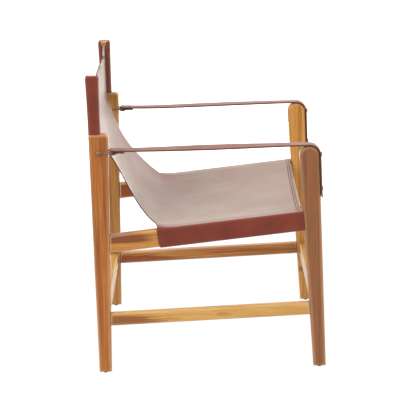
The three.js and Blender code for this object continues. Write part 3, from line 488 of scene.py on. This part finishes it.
for seed, (node, (grain, *looks)) in enumerate(WOODS.items(), start=1):
    tones, hearts, *matt = looks
    dress(node, wood(f"wood_{node}", grain, tones, seed, hearts, *matt))
FITTINGS = ("strap_rivet", "strap_bail", "bail_pin", "strap_stud_upper", "strap_stud_lower")
GLIDES = ("foot_glide_rear", "foot_glide_front")
for side in SIDES:
    for fitting in FITTINGS:
        dress(f"{fitting}_{side}", brass)
    for glide in GLIDES:
        dress(f"{glide}_{side}", plastic)


# Leather sling
# Its middle surface is told by rows from the top edge of the back to the hem of the seat.

def on_rail(y, above):
    """Side-view point this far above the rail's underside, square to the rail."""
    underside = RAIL_REAR_HEIGHT + (RAIL_REAR_Y - y) * math.tan(RAIL_TILT)
    return np.array([y + above * math.sin(RAIL_TILT), underside + above * math.cos(RAIL_TILT)])


def sleeve_lift(y):
    into = max(0.0, y - (RAIL_SLEEVE_REAR - SLEEVE_LIFT_LENGTH)) / SLEEVE_LIFT_LENGTH
    return SLEEVE_LIFT * into * into


def waist(share):
    """How far the free edge curves in, as a share of the waist's depth."""
    if share <= WAIST_START or share >= WAIST_END:
        return 0.0
    if share < WAIST_PEAK:
        return math.sin(math.pi / 2 * (share - WAIST_START) / (WAIST_PEAK - WAIST_START))
    return math.cos(math.pi / 2 * (share - WAIST_PEAK) / (WAIST_END - WAIST_PEAK)) ** 2


def free_edge():
    """The free side edge in the side view, as points a row apart."""
    end = on_rail(RAIL_SLEEVE_REAR, RAIL_TOP_LEATHER + SLEEVE_LIFT)
    pulls = [
        np.array([POST_Y, SLEEVE_BOTTOM]),
        np.array([POST_Y, SLEEVE_BOTTOM - FREE_EDGE_UPPER_PULL]),
        end + FREE_EDGE_LOWER_PULL * np.array([1, FREE_EDGE_LOWER_RISE]),
        end,
    ]
    t = np.linspace(0, 1, 400)[:, None]
    weights = [(1 - t) ** 3, 3 * t * (1 - t) ** 2, 3 * t * t * (1 - t), t ** 3]
    fine = sum(w * p for w, p in zip(weights, pulls))
    length = travelled(fine)
    shares = np.linspace(0, 1, round(length[-1] / ROW_STEP) + 1)
    along = shares * length[-1]
    return shares, np.stack([np.interp(along, length, fine[:, k]) for k in (0, 1)], axis=1)


PANEL_EDGE_BACK = LEG_X - SLEEVE_WIDTH / 2 + LEATHER / 2 - SEAM_FILLET
SEAT_HALF = RAIL_X - RAIL_THICKNESS / 2 - 2 * FIT - LEATHER
PANEL_EDGE_RAIL = SEAT_HALF + LEATHER / 2


def sling_rows():
    """Rows as columns of numbers: y, z, half width, sag and the share of the top edge's rise."""
    rows = []
    count = round((SLEEVE_TOP - SLEEVE_BOTTOM) / ROW_STEP)
    for share in np.linspace(0, 1, count + 1)[:-1]:
        z = SLEEVE_TOP + (SLEEVE_BOTTOM - SLEEVE_TOP) * share
        rows.append((POST_Y, z, PANEL_EDGE_BACK, BACK_SAG * share, 1 - share))
    for share, (y, z) in zip(*free_edge()):
        if share == 1:
            break
        half = PANEL_EDGE_BACK + (PANEL_EDGE_RAIL - PANEL_EDGE_BACK) * share
        half -= WAIST_DEPTH * waist(share)
        sag = BACK_SAG + (CROOK_SAG - BACK_SAG) * math.sin(math.pi / 2 * share)
        rows.append((y, z, half, sag, 0))
    length = RAIL_SLEEVE_REAR - RAIL_SLEEVE_FRONT
    for share in np.linspace(0, 1, round(length / ROW_STEP) + 1):
        y = RAIL_SLEEVE_REAR - length * share
        sag = np.interp(share, [0, 0.5, 1], [CROOK_SAG, SEAT_SAG, HEM_SAG])
        rows.append((*on_rail(y, RAIL_TOP_LEATHER + sleeve_lift(y)), RAIL_X, sag, 0))
    return np.array(rows)


ROWS = sling_rows()
LAST = len(ROWS) - 1
BACK_COUNT = round((SLEEVE_TOP - SLEEVE_BOTTOM) / ROW_STEP)
SEAT_COUNT = round((RAIL_SLEEVE_REAR - RAIL_SLEEVE_FRONT) / ROW_STEP) + 1
SEAT_START = len(ROWS) - SEAT_COUNT
SEAT_STEP = (RAIL_SLEEVE_REAR - RAIL_SLEEVE_FRONT) / math.cos(RAIL_TILT) / (SEAT_COUNT - 1)
ROW_NUMBERS = np.arange(len(ROWS))
ALONG = travelled(ROWS[:, :2])


def smooth_along(values, width, ends="even"):
    """Values of the rows, averaged over this length of the hide; odd ends carry a slope on."""
    reach = int(3 * width / ROW_STEP)
    weights = np.exp(-0.5 * (np.arange(-reach, reach + 1) * ROW_STEP / width) ** 2)
    padded = np.pad(values, reach, mode="reflect", reflect_type=ends)
    return np.convolve(padded, weights / weights.sum(), mode="valid")


tangent = np.gradient(ROWS[:, :2], axis=0)
heading = smooth_along(np.unwrap(np.arctan2(tangent[:, 1], tangent[:, 0])), CROOK_SMOOTHING)
BEHIND = np.stack([-np.sin(heading), np.cos(heading)], axis=1)
SAG = smooth_along(ROWS[:, 3], CROOK_SMOOTHING)
eased = [smooth_along(ROWS[:, k], MIDDLE_EASING, "odd") for k in (0, 1)]
EASING = np.stack(eased, axis=1) - ROWS[:, :2]


def at_row(values, row):
    return np.interp(row, ROW_NUMBERS, values)


def notch(z, from_seam):
    """How far the sleeve's top edge is cut down beside its seam with the panel."""
    near_top = max(0.0, 1 - (SLEEVE_TOP - z) / NOTCH_FADE)
    return NOTCH * near_top * math.exp(-(from_seam / NOTCH_WIDTH) ** 2)


def hem_skew(row, across):
    """How much further forward the hide lies towards the hem, most of all at the left rail."""
    seat_share = max(0.0, row - SEAT_START) / (SEAT_COUNT - 1)
    lead = HEM_LEAD + HEM_SKEW * (across + 1) / 2 - HEM_BOW * (1 - across * across)
    return lead * seat_share ** 2


def hem_pull(row, across):
    """How far the free front edge is drawn back, between the rails and in front of its stitches."""
    ahead = max(0.0, 1 - (LAST - row) * SEAT_STEP / HEM_STITCHES[0])
    return HEM_PULL * ahead * max(0.0, 1 - across ** HEM_PULL_BEND)


def looseness(row, across):
    """How much higher the hide stands over the left rail, whose sleeve is the looser one."""
    above_seat = max(0.0, SEAT_START - row) * ROW_STEP / LEFT_LOOSE_FADE
    return LEFT_LOOSE * smoothstep(1 - above_seat) * max(0.0, across) ** 2


def hide(row, x):
    """Point of the sling's middle surface at a row, or between two, and a place across."""
    half = at_row(ROWS[:, 2], row)
    slack = min(SLACK_SHARE * half, SEAT_HALF)
    bow = 1 - (x / slack) ** 2
    bow = (bow + math.sqrt(bow * bow + SLACK_EASING)) / 2
    spot = Vector((RIPPLE_ACROSS * x, RIPPLE_ALONG * at_row(ALONG, row), 0.5))
    ripple = RIPPLE * bow * noise.noise(spot)
    sag = at_row(SAG, row) * bow + ripple
    ear = math.exp(-max(0.0, half - abs(x)) / EAR_WIDTH)
    rise = PANEL_CROWN * (1 - (x / half) ** 2) - PANEL_TOP_DROP * (1 - ear)
    ease = smoothstep(bow)
    y = at_row(ROWS[:, 0], row) + sag * at_row(BEHIND[:, 0], row) + ease * at_row(EASING[:, 0], row)
    flat_z = at_row(ROWS[:, 1], row)
    z = flat_z + sag * at_row(BEHIND[:, 1], row) + ease * at_row(EASING[:, 1], row)
    z += rise * at_row(ROWS[:, 4], row)
    if row <= BACK_COUNT:
        z -= ear * notch(flat_z, 0)
        y += TOP_HEM_LEAN * (1 - ear) * max(0.0, 1 - at_row(ALONG, row) / TOP_HEM)
    skew = hem_skew(row, x / RAIL_X) - hem_pull(row, x / RAIL_X)
    loose = looseness(row, x / RAIL_X)
    y += loose * math.sin(RAIL_TILT) - skew * math.cos(RAIL_TILT)
    z += loose * math.cos(RAIL_TILT) + skew * math.sin(RAIL_TILT)
    return np.array([x, y, z])


def hide_behind(row, x, distance):
    """Point this far behind or under the sling's middle surface."""
    step = 0.5 * MM
    along = hide(min(row + 0.2, LAST), x) - hide(max(row - 0.2, 0), x)
    across = hide(row, x + step) - hide(row, x - step)
    normal = np.cross(along, across)
    normal /= np.linalg.norm(normal)
    if normal @ np.array([0, at_row(BEHIND[:, 0], row), at_row(BEHIND[:, 1], row)]) < 0:
        normal = -normal
    return hide(row, x) + distance * normal


def groove(row):
    """Depth of the line that the hem's stitches press into the hide."""
    from_hem = (LAST - row) * SEAT_STEP
    return STITCH_GROOVE if min(abs(from_hem - place) for place in HEM_STITCHES) < 0.1 * MM else 0.0


def flap_places(outer):
    return np.linspace(outer, outer - FLAP_LENGTH, 5)


def post_plan(z, inset):
    """Section of a back sleeve about its post's middle, from the panel's edge to its turned flap."""
    flare = SLEEVE_FLARE * ((z - SLEEVE_BOTTOM) / (SLEEVE_TOP - SLEEVE_BOTTOM)) ** 2
    w = SLEEVE_WIDTH / 2 - LEATHER / 2 - inset
    d = SLEEVE_DEPTH / 2 - LEATHER / 2 - inset + flare
    r = BACK_SLEEVE_ROUND - LEATHER / 2 - inset
    leaf = math.exp(-((SLEEVE_TOP - LEAF_DROP - z) / LEAF_HALF) ** 2)
    depth = SEAM_DEPTH + SEAM_LEAF * leaf
    inner = min(r, d - depth)
    turn = POST_FLAP_TURN
    seam = w + SEAM_FILLET
    fillet = arc((-seam, -SEAM_FILLET), SEAM_FILLET, 90, 0, 6)[1:]
    return [
        *(np.array([x, y * depth / SEAM_FILLET]) for x, y in fillet),
        *arc((inner - w, inner - d), inner, 180, 270, 7),
        *line((r - w, -d), (w - r, -d), 3),
        *arc((w - r, r - d), r, 270, 360, 7),
        *line((w, r - d), (w, d - r), 3),
        *arc((w - r, d - r), r, 0, 90, 7),
        *line((w - r, d), (r - w, d), 3),
        *arc((r - w, d - r), r, 90, 180, 7),
        *arc((-w - turn, FLAP_GAP + turn), turn, 0, -90, 4),
    ]


def post_ring(z, side, inset=0.0):
    """The sleeve's section set in place, with its top edge cut down beside the seam."""
    points = []
    for x, y in post_plan(min(z, SLEEVE_TOP), inset):
        from_seam = abs(y) if x < inset - SLEEVE_WIDTH / 4 else 1.0
        near_top = max(0.0, 1 - max(0.0, SLEEVE_TOP - z) / TOP_CORNER_FADE)
        corner = TOP_CORNER_DROP * near_top * min(1.0, abs(y) / (SLEEVE_DEPTH / 2)) ** 4
        drop = corner + notch(min(z, SLEEVE_TOP), from_seam)
        points.append(np.array([side * (LEG_X + x), POST_Y + y, z - drop]))
    return points


def post_wrap(row, side):
    """The hide from the panel's edge round the post and back behind the panel, at one row."""
    places = flap_places(LEG_X - SLEEVE_WIDTH / 2 + LEATHER / 2 - POST_FLAP_TURN)
    flap = [hide_behind(row, side * min(x, PANEL_EDGE_BACK), FLAP_GAP) for x in places]
    return post_ring(at_row(ROWS[:, 1], row), side) + flap


def rail_wrap(row, side):
    """The hide from the rail's top round its outer face, under it and up to the panel, at one row."""
    w = RAIL_THICKNESS / 2 + FIT + LEATHER / 2
    h = RAIL_HEIGHT / 2 + FIT + LEATHER / 2
    r = RAIL_SLEEVE_ROUND - LEATHER / 2
    turn = RAIL_FLAP_TURN
    top = h - FLAP_GAP - turn
    section = [
        *line((0, h), (w - r, h), 3)[1:],
        *arc((w - r, h - r), r, 90, 0, 6),
        *line((w, h - r), (w, r - h), 8),
        *arc((w - r, r - h), r, 0, -90, 6),
        *line((w - r, -h), (r - w, -h), 4),
        *arc((r - w, r - h), r, -90, -180, 6),
        *line((-w, r - h), (-w, top), 8),
        *arc((-w - turn, top), turn, 0, 90, 4),
    ]
    share = (row - SEAT_START) / (SEAT_COUNT - 1)
    station = RAIL_SLEEVE_REAR + (RAIL_SLEEVE_FRONT - RAIL_SLEEVE_REAR) * share
    lift = sleeve_lift(station)
    rear = max(0.0, 1 - (RAIL_SLEEVE_REAR - station) / SLEEVE_SLANT_LENGTH)
    points = []
    for x, height in section:
        low = (h - height) / (2 * h)
        rise = lift * (1 - (1 - SLEEVE_LIFT_OUTER) * max(0.0, x / w)) + looseness(row, side)
        rise *= smoothstep(1 - low)
        upright = rear * (h - height) * math.sin(RAIL_TILT)
        y = station + upright - SLEEVE_SLANT * rear * low ** SLEEVE_SLANT_BEND - hem_skew(row, side)
        y, z = on_rail(y, RAIL_HEIGHT / 2 + height + rise)
        points.append(np.array([side * (RAIL_X + x), y, z]))
    return points + [hide_behind(row, side * x, FLAP_GAP) for x in flap_places(RAIL_X - w - turn)]


def hem_point(x, turn):
    """Point on the rounded front edge, where the hide turns under; turn is in degrees."""
    edge = hide(LAST, x)
    under = hide_behind(LAST, x, 1.0) - edge
    forward = edge - hide(LAST - 0.4, x)
    forward /= np.linalg.norm(forward)
    radius = FLAP_GAP / 2
    angle = math.radians(turn)
    return edge + radius * (under * (1 - math.cos(angle)) + forward * math.sin(angle))


def column_shares():
    """Places across the panel, closer together towards its edges."""
    even = np.linspace(-1, 1, COLUMNS)
    return np.sign(even) * (1 - (1 - np.abs(even)) ** COLUMN_CROWDING)


def grid_rows():
    """Rows of the mesh: the sling's own, and closer ones along the stitched hem."""
    steps = (-STITCH_SPREAD, 0, STITCH_SPREAD)
    from_hem = np.array([*HEM_ROWS, *(place + step for place in HEM_STITCHES for step in steps)])
    close = LAST - from_hem / SEAT_STEP
    clear = [np.abs(close - row).min() * SEAT_STEP > ROW_CLEARANCE for row in ROW_NUMBERS]
    own = [row for row in ROW_NUMBERS if row == LAST or clear[row]]
    return np.array(sorted([*own, *close]))


GRID_ROWS = grid_rows()


def paint_corner_sheen(mesh):
    """Paints the cut edges pale where the panel's top corners part from the sleeves: a painted sheen for
    the light the leather catches there.
    """
    mesh.materials.append(corner_sheen_paint)
    for polygon in mesh.polygons:
        x, y, z = polygon.center
        beside_seam = -SHEEN_PAINT_INNER < abs(x) - PANEL_EDGE_BACK < SHEEN_PAINT_OUTER
        at_top = abs(y - POST_Y) < SHEEN_PAINT_DEPTH and z > SLEEVE_TOP - SHEEN_PAINT_DROP
        if polygon.material_index == RIM_SLOT and beside_seam and at_top:
            polygon.material_index = SHEEN_PAINT_SLOT


def make_sling():
    shares = column_shares()
    points, stretch, faces = [], [], []

    def put(point, across, along):
        points.append(point)
        stretch.append((across, along))
        return len(points) - 1

    def weave(strips):
        for a, b in zip(strips, strips[1:]):
            for k in range(len(a) - 1):
                faces.append((a[k], a[k + 1], b[k + 1], b[k]))

    grid = []
    for row in GRID_ROWS:
        places = shares * at_row(ROWS[:, 2], row)
        depth = groove(row)
        spots = [hide_behind(row, x, depth) if depth else hide(row, x) for x in places]
        grid.append([put(p, x, at_row(ALONG, row)) for p, x in zip(spots, places)])
    weave(grid)

    def wrap_round(wrap, first, last):
        wrapped = {}
        for side, edge in ((-1, 0), (1, -1)):
            strips = wrapped[side] = []
            for number, row in enumerate(GRID_ROWS):
                if not first <= row <= last:
                    continue
                start = grid[number][edge]
                spots = wrap(row, side)
                across = abs(stretch[start][0]) + travelled(np.array([points[start], *spots]))[1:]
                along = at_row(ALONG, row)
                strips.append([start, *(put(p, side * a, along) for p, a in zip(spots, across))])
            weave(strips)
        return wrapped

    around = slice(5, -4)
    for side, strips in wrap_round(post_wrap, 0, BACK_COUNT).items():
        rim = strips[0][1:1 + len(post_ring(SLEEVE_TOP, side))][around]
        curl = [rim]
        for angle in map(math.radians, TOP_CURL_TURNS):
            inset = TOP_CURL * (1 - math.cos(angle))
            ring = post_ring(SLEEVE_TOP + TOP_CURL * math.sin(angle), side, inset)[around]
            curl.append([put(p, stretch[k][0], -TOP_CURL * angle) for p, k in zip(ring, rim)])
        weave(curl)
    wrap_round(rail_wrap, SEAT_START, LAST)

    columns = [k for k, share in enumerate(shares) if abs(share) * RAIL_X <= HEM_HALF]
    places = [shares[k] * RAIL_X for k in columns]
    fold = [[grid[-1][k] for k in columns]]
    for turn in HEM_FOLD_TURNS:
        along = ALONG[-1] + math.radians(turn) * FLAP_GAP / 2
        fold.append([put(hem_point(x, turn), x, along) for x in places])
    for back in HEM_FOLD_ROWS:
        row = LAST - back / SEAT_STEP
        along = ALONG[-1] + math.pi * FLAP_GAP / 2 + back
        depth = FLAP_GAP + groove(row)
        fold.append([put(hide_behind(row, x, depth), x, along) for x in places])
    weave(fold)

    obj = mesh_object("sling", points, faces, sling_leather)
    face_outwards(obj.data)
    if obj.data.polygons[0].normal.y > 0:
        obj.data.flip_normals()
    lay_flat(obj.data, stretch)
    solidify(obj, LEATHER, cut_edge, flesh_side)
    paint_corner_sheen(obj.data)
    return obj


def stitching(name, paths, material):
    """Rows of stitches, each a small plump bar; a path is its points and a point above each."""
    pitch, length, thick, plump = 4.6 * MM, 3.7 * MM, 0.65 * MM, 0.6
    sides, rings = 6, 3
    points, faces = [], []
    for path, above in paths:
        path, above = np.array(path), np.array(above)
        run = travelled(path)
        for place in np.arange(pitch / 2, run[-1], pitch):
            ends = [along_line(place + s * length / 2, run, path) for s in (-1, 1)]
            up = along_line(place, run, above - path)
            way = (ends[1] - ends[0]) / np.linalg.norm(ends[1] - ends[0])
            up = up - way * (up @ way)
            up /= np.linalg.norm(up)
            across = np.cross(way, up)
            middle = (ends[0] + ends[1]) / 2 + up * LEATHER / 2
            first = len(points)
            points.append(middle - way * length / 2)
            for i in range(rings):
                bend = math.pi * (i + 1) / (rings + 1)
                for k in range(sides):
                    turn = 2 * math.pi * k / sides
                    swell = thick * math.sin(bend) ** plump
                    out = across * math.cos(turn) + up * math.sin(turn)
                    points.append(middle - way * length / 2 * math.cos(bend) + out * swell)
            points.append(middle + way * length / 2)
            for k in range(sides):
                n = (k + 1) % sides
                faces.append((first, first + 1 + n, first + 1 + k))
                for i in range(rings - 1):
                    a, b = first + 1 + i * sides, first + 1 + (i + 1) * sides
                    faces.append((a + k, a + n, b + n, b + k))
                tip = first + 1 + rings * sides
                faces.append((tip - sides + k, tip - sides + n, tip))
    obj = mesh_object(name, points, faces, material)
    face_outwards(obj.data)
    return obj


def hem_stitch_path(from_hem):
    """Line of stitches along the hem, from one rail sleeve's outer face to the other's."""
    row = LAST - from_hem / SEAT_STEP
    outer = 15
    sleeves = {side: rail_wrap(row, side)[:outer] for side in (-1, 1)}
    places = np.linspace(-RAIL_X, RAIL_X, 160)
    path = [*sleeves[-1][::-1], *(hide(row, x) for x in places), *sleeves[1]]
    way = np.gradient(np.array(path), axis=0)
    forward = np.array([0, -math.cos(RAIL_TILT), math.sin(RAIL_TILT)])
    normal = np.cross(forward, way)
    return path, np.array(path) + normal / np.linalg.norm(normal, axis=1)[:, None]


sling = make_sling()
hem_stitches = stitching("hem_stitching", [hem_stitch_path(d) for d in HEM_STITCHES], hem_thread)
for piece in (sling, hem_stitches):
    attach(piece, "frame")
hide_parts("leather_sling")


# Arm straps

def strap_path(side):
    """Middle line of a strap in the side view, from its end on the front leg to its rear fold."""
    half = STRAP_THICKNESS / 2
    reach = FRONT_TOP_RADIUS + FIT + half
    face_angle = 180 - math.degrees(FRONT_LEG_LEAN)
    off = np.array([-math.cos(FRONT_LEG_LEAN), math.sin(FRONT_LEG_LEAN)])
    down = np.array([-math.sin(FRONT_LEG_LEAN), -math.cos(FRONT_LEG_LEAN)])
    start = FRONT_TOP + reach * off
    drop = (start[1] - STRAP_TAIL) / math.cos(FRONT_LEG_LEAN)
    tail = []
    for i in range(TAIL_STEPS):
        below = drop * (1 - i / TAIL_STEPS)
        flare = max(0.0, below - (drop - STRAP_FLARE_LENGTH)) / STRAP_FLARE_LENGTH
        tail.append(start + below * down + STRAP_FLARE * flare * flare * off)
    level = STRAP_TOP - half
    loop_y = strap_high.y - LOOP_INNER - STRAP_THICKNESS
    loop_z = level - half - LOOP_INNER
    loop = LOOP_INNER + half
    pocket = (loop_y - LOOP_POCKET, loop_z - loop)
    throat = (loop_y - LOOP_THROAT, level - STRAP_THICKNESS - FIT)
    end = (loop_y + LOOP_INNER + STRAP_THICKNESS - FOLD_LENGTH, throat[1])
    span = line((FRONT_TOP[0], level), (loop_y, level), SPAN_STEPS)
    closing = [
        *arc((loop_y, loop_z), loop, 90, -90, 16),
        *line((loop_y, loop_z - loop), pocket, 4),
        *line(pocket, throat, 12),
        *line(throat, end, 16),
        np.array(end),
    ]
    for _ in range(6):
        bend = closing[20:-1]
        eased = [0.25 * a + 0.5 * b + 0.25 * c for a, b, c in zip(bend, bend[1:], bend[2:])]
        closing[21:-2] = eased
    for point in span + closing:
        share = min(1.0, (point[0] - FRONT_TOP[0]) / (loop_y - FRONT_TOP[0]))
        point[1] -= STRAP_DIP[side] * 1.4 * share ** 2 * (1 - share ** 6)
    return np.array([*tail, *arc(FRONT_TOP, reach, face_angle, 90, 18), *span, *closing])


def strap_section(width):
    """Section of the strap as (across, out) points: flat faces and rounded, burnished edges."""
    half = STRAP_THICKNESS / 2
    edge = STRAP_EDGE_ROUND
    flat = width / 2 - edge
    faces = np.linspace(-flat, flat, 9)
    rounds = [math.radians(a) for a in (70, 45, 20, -20, -45, -70)]
    right = []
    for a in rounds:
        right.append((flat + edge * math.cos(a), (half - edge) * np.sign(a) + edge * math.sin(a)))
    left = [(-x, -y) for x, y in right]
    return [(x, half) for x in faces] + right + [(-x, -half) for x in faces] + left


def make_strap(side, sign):
    path = strap_path(side)
    along = np.gradient(path, axis=0)
    along /= np.linalg.norm(along, axis=1)[:, None]
    run = travelled(path)
    corner = STRAP_CORNER
    span = (path[:, 0] - FRONT_TOP[0]) / (strap_high.y - FRONT_TOP[0])
    points, faces, stretch = [], [], []
    for number, ((y, z), (ty, tz), d) in enumerate(zip(path, along, run)):
        from_end = min(d, run[-1] - d)
        cut = corner - math.sqrt(max(0.0, corner ** 2 - (corner - min(from_end, corner)) ** 2))
        roll = STRAP_ROLL[side] * math.sin(math.pi * min(1.0, max(0.0, span[number]))) ** 2
        for across, out in strap_section(STRAP_WIDTH - 2 * cut):
            lean = across * math.sin(roll) + out
            points.append((sign * LEG_X + across, y - tz * lean, z + ty * lean))
            stretch.append((across, d))
    count = len(strap_section(STRAP_WIDTH))
    for i in range(len(path) - 1):
        for k in range(count):
            n = (k + 1) % count
            faces.append((i * count + k, i * count + n, (i + 1) * count + n, (i + 1) * count + k))
    last = (len(path) - 1) * count
    faces.append(tuple(range(count)))
    faces.append(tuple(last + k for k in reversed(range(count))))
    obj = mesh_object(f"strap_{side}", points, faces, strap_leather)
    mesh = obj.data
    mesh.materials.append(strap_edge)
    face_outwards(mesh)
    lay_flat(mesh, stretch)
    for polygon in mesh.polygons:
        if abs(polygon.normal.x) > 0.5 or len(polygon.vertices) > 4:
            polygon.material_index = 1
    mesh.set_sharp_from_angle(angle=math.radians(50))
    return obj


for side, sign in SIDES.items():
    strap = make_strap(side, sign)
    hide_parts(f"arm_strap_{side}", f"arm_strap_front_{side}")
    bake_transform(strap)
    travelled(strap_path(side))[-1]


# Stage, light and camera

MIRRORED_WHITE = 0.6
FLOOR_REACH = 30.0
FLOOR_WHITE, FLOOR_SHADOWS = 1.05, 0.08
FLOOR_GREYS = ((0.0, 0.25), (0.25, 0.55), (0.75, 0.6), (1.0, 0.92))
NEAR_SKY, FAR_SKY, SIDE_SKY = 0.25, 1.85, 1.3
CHAIR_MIDDLE = (0, 0, 0.4)


def make_floor():
    corners = [(x * FLOOR_REACH, y * FLOOR_REACH, 0) for x, y in ((-1, -1), (1, -1), (1, 1), (-1, 1))]
    shader = Shader(bpy.data.materials.new("studio_floor"))
    across = shader.add("SeparateXYZ", {0: shader.add("TexCoord").outputs["Object"]})
    depth = shader.span(across.outputs["X"], -1.4, 1.6)
    tone = shader.ramp(depth, *((place, (grey, grey, grey)) for place, grey in FLOOR_GREYS))
    shader.set(Base_Color=tone, Roughness=0.9)
    rays = shader.add("LightPath").outputs
    mirrored = shader.math("MULTIPLY", rays["Is Glossy Ray"], MIRRORED_WHITE)
    seen = shader.math("MAXIMUM", rays["Is Camera Ray"], rays["Is Transmission Ray"])
    seen = shader.math("MAXIMUM", seen, mirrored)
    glow = shader.add("Emission", {"Strength": FLOOR_WHITE}).outputs["Emission"]
    share = shader.math("MULTIPLY", seen, 1 - FLOOR_SHADOWS)
    blended = shader.add("MixShader", {0: share, 1: shader.surface.outputs["BSDF"], 2: glow})
    output = shader.nodes["Material Output"]
    shader.links.new(blended.outputs["Shader"], output.inputs["Surface"])
    floor = mesh_object("studio_floor", corners, [(0, 1, 2, 3)], shader.owner, smooth=False)


def make_world():
    """White to the camera, and to the object a sky that is brighter behind it and at its sides."""
    world = bpy.data.worlds.new("studio")
    bpy.context.scene.world = world
    shader = Shader(world)
    way = shader.add("SeparateXYZ", {0: shader.add("TexCoord").outputs["Generated"]}).outputs
    behind = shader.span(way["X"], -0.5, 0.5, NEAR_SKY, FAR_SKY)
    squared = shader.math("MULTIPLY", way["Y"], way["Y"])
    sides = {0: squared, 1: SIDE_SKY, 2: behind}
    strength = shader.add("Math", sides, operation="MULTIPLY_ADD").outputs["Value"]
    rays = shader.add("LightPath").outputs
    mirrored = shader.math("MULTIPLY", rays["Is Glossy Ray"], MIRRORED_WHITE)
    for white in (rays["Is Camera Ray"], rays["Is Transmission Ray"], mirrored):
        strength = shader.math("MAXIMUM", white, strength)
    background = shader.nodes["Background"].inputs
    shader.feed(background["Color"], (1, 1, 1, 1))
    shader.feed(background["Strength"], strength)


def make_lamp(name, place, target, size, power):
    data = bpy.data.lights.new(name, "AREA")
    data.shape = "SQUARE"
    data.size = size
    data.energy = power
    lamp = link(bpy.data.objects.new(name, data))
    lamp.location = place
    lamp.rotation_euler = (Vector(target) - Vector(place)).to_track_quat("-Z", "Y").to_euler()


def make_camera():
    forward = Vector((math.cos(CAMERA_PITCH) * math.cos(CAMERA_YAW),
                      math.cos(CAMERA_PITCH) * math.sin(CAMERA_YAW), math.sin(CAMERA_PITCH)))
    level = forward.cross(Vector((0, 0, 1))).normalized()
    upright = level.cross(forward)
    right = level * math.cos(CAMERA_ROLL) + upright * math.sin(CAMERA_ROLL)
    up = upright * math.cos(CAMERA_ROLL) - level * math.sin(CAMERA_ROLL)
    data = bpy.data.cameras.new("camera")
    data.sensor_width = SENSOR
    data.lens = CAMERA_FOCAL_PIXELS / PHOTO_PIXELS * SENSOR
    camera = link(bpy.data.objects.new("camera", data))
    turn = Matrix((right, up, -forward)).transposed().to_4x4()
    camera.matrix_world = Matrix.Translation(CAMERA_PLACE) @ turn
    bpy.context.scene.camera = camera


make_floor()
make_world()
make_lamp("key", (-3.2, 2.2, 3.4), CHAIR_MIDDLE, size=2.0, power=104)
make_lamp("fill", (-3.4, -2.6, 2.4), CHAIR_MIDDLE, size=2.0, power=51)
make_lamp("backdrop", (2.1, 0, 2.4), (6.0, 0, 0.1), size=1.5, power=1050)
make_camera()
bpy.context.scene.view_settings.view_transform = "Standard"
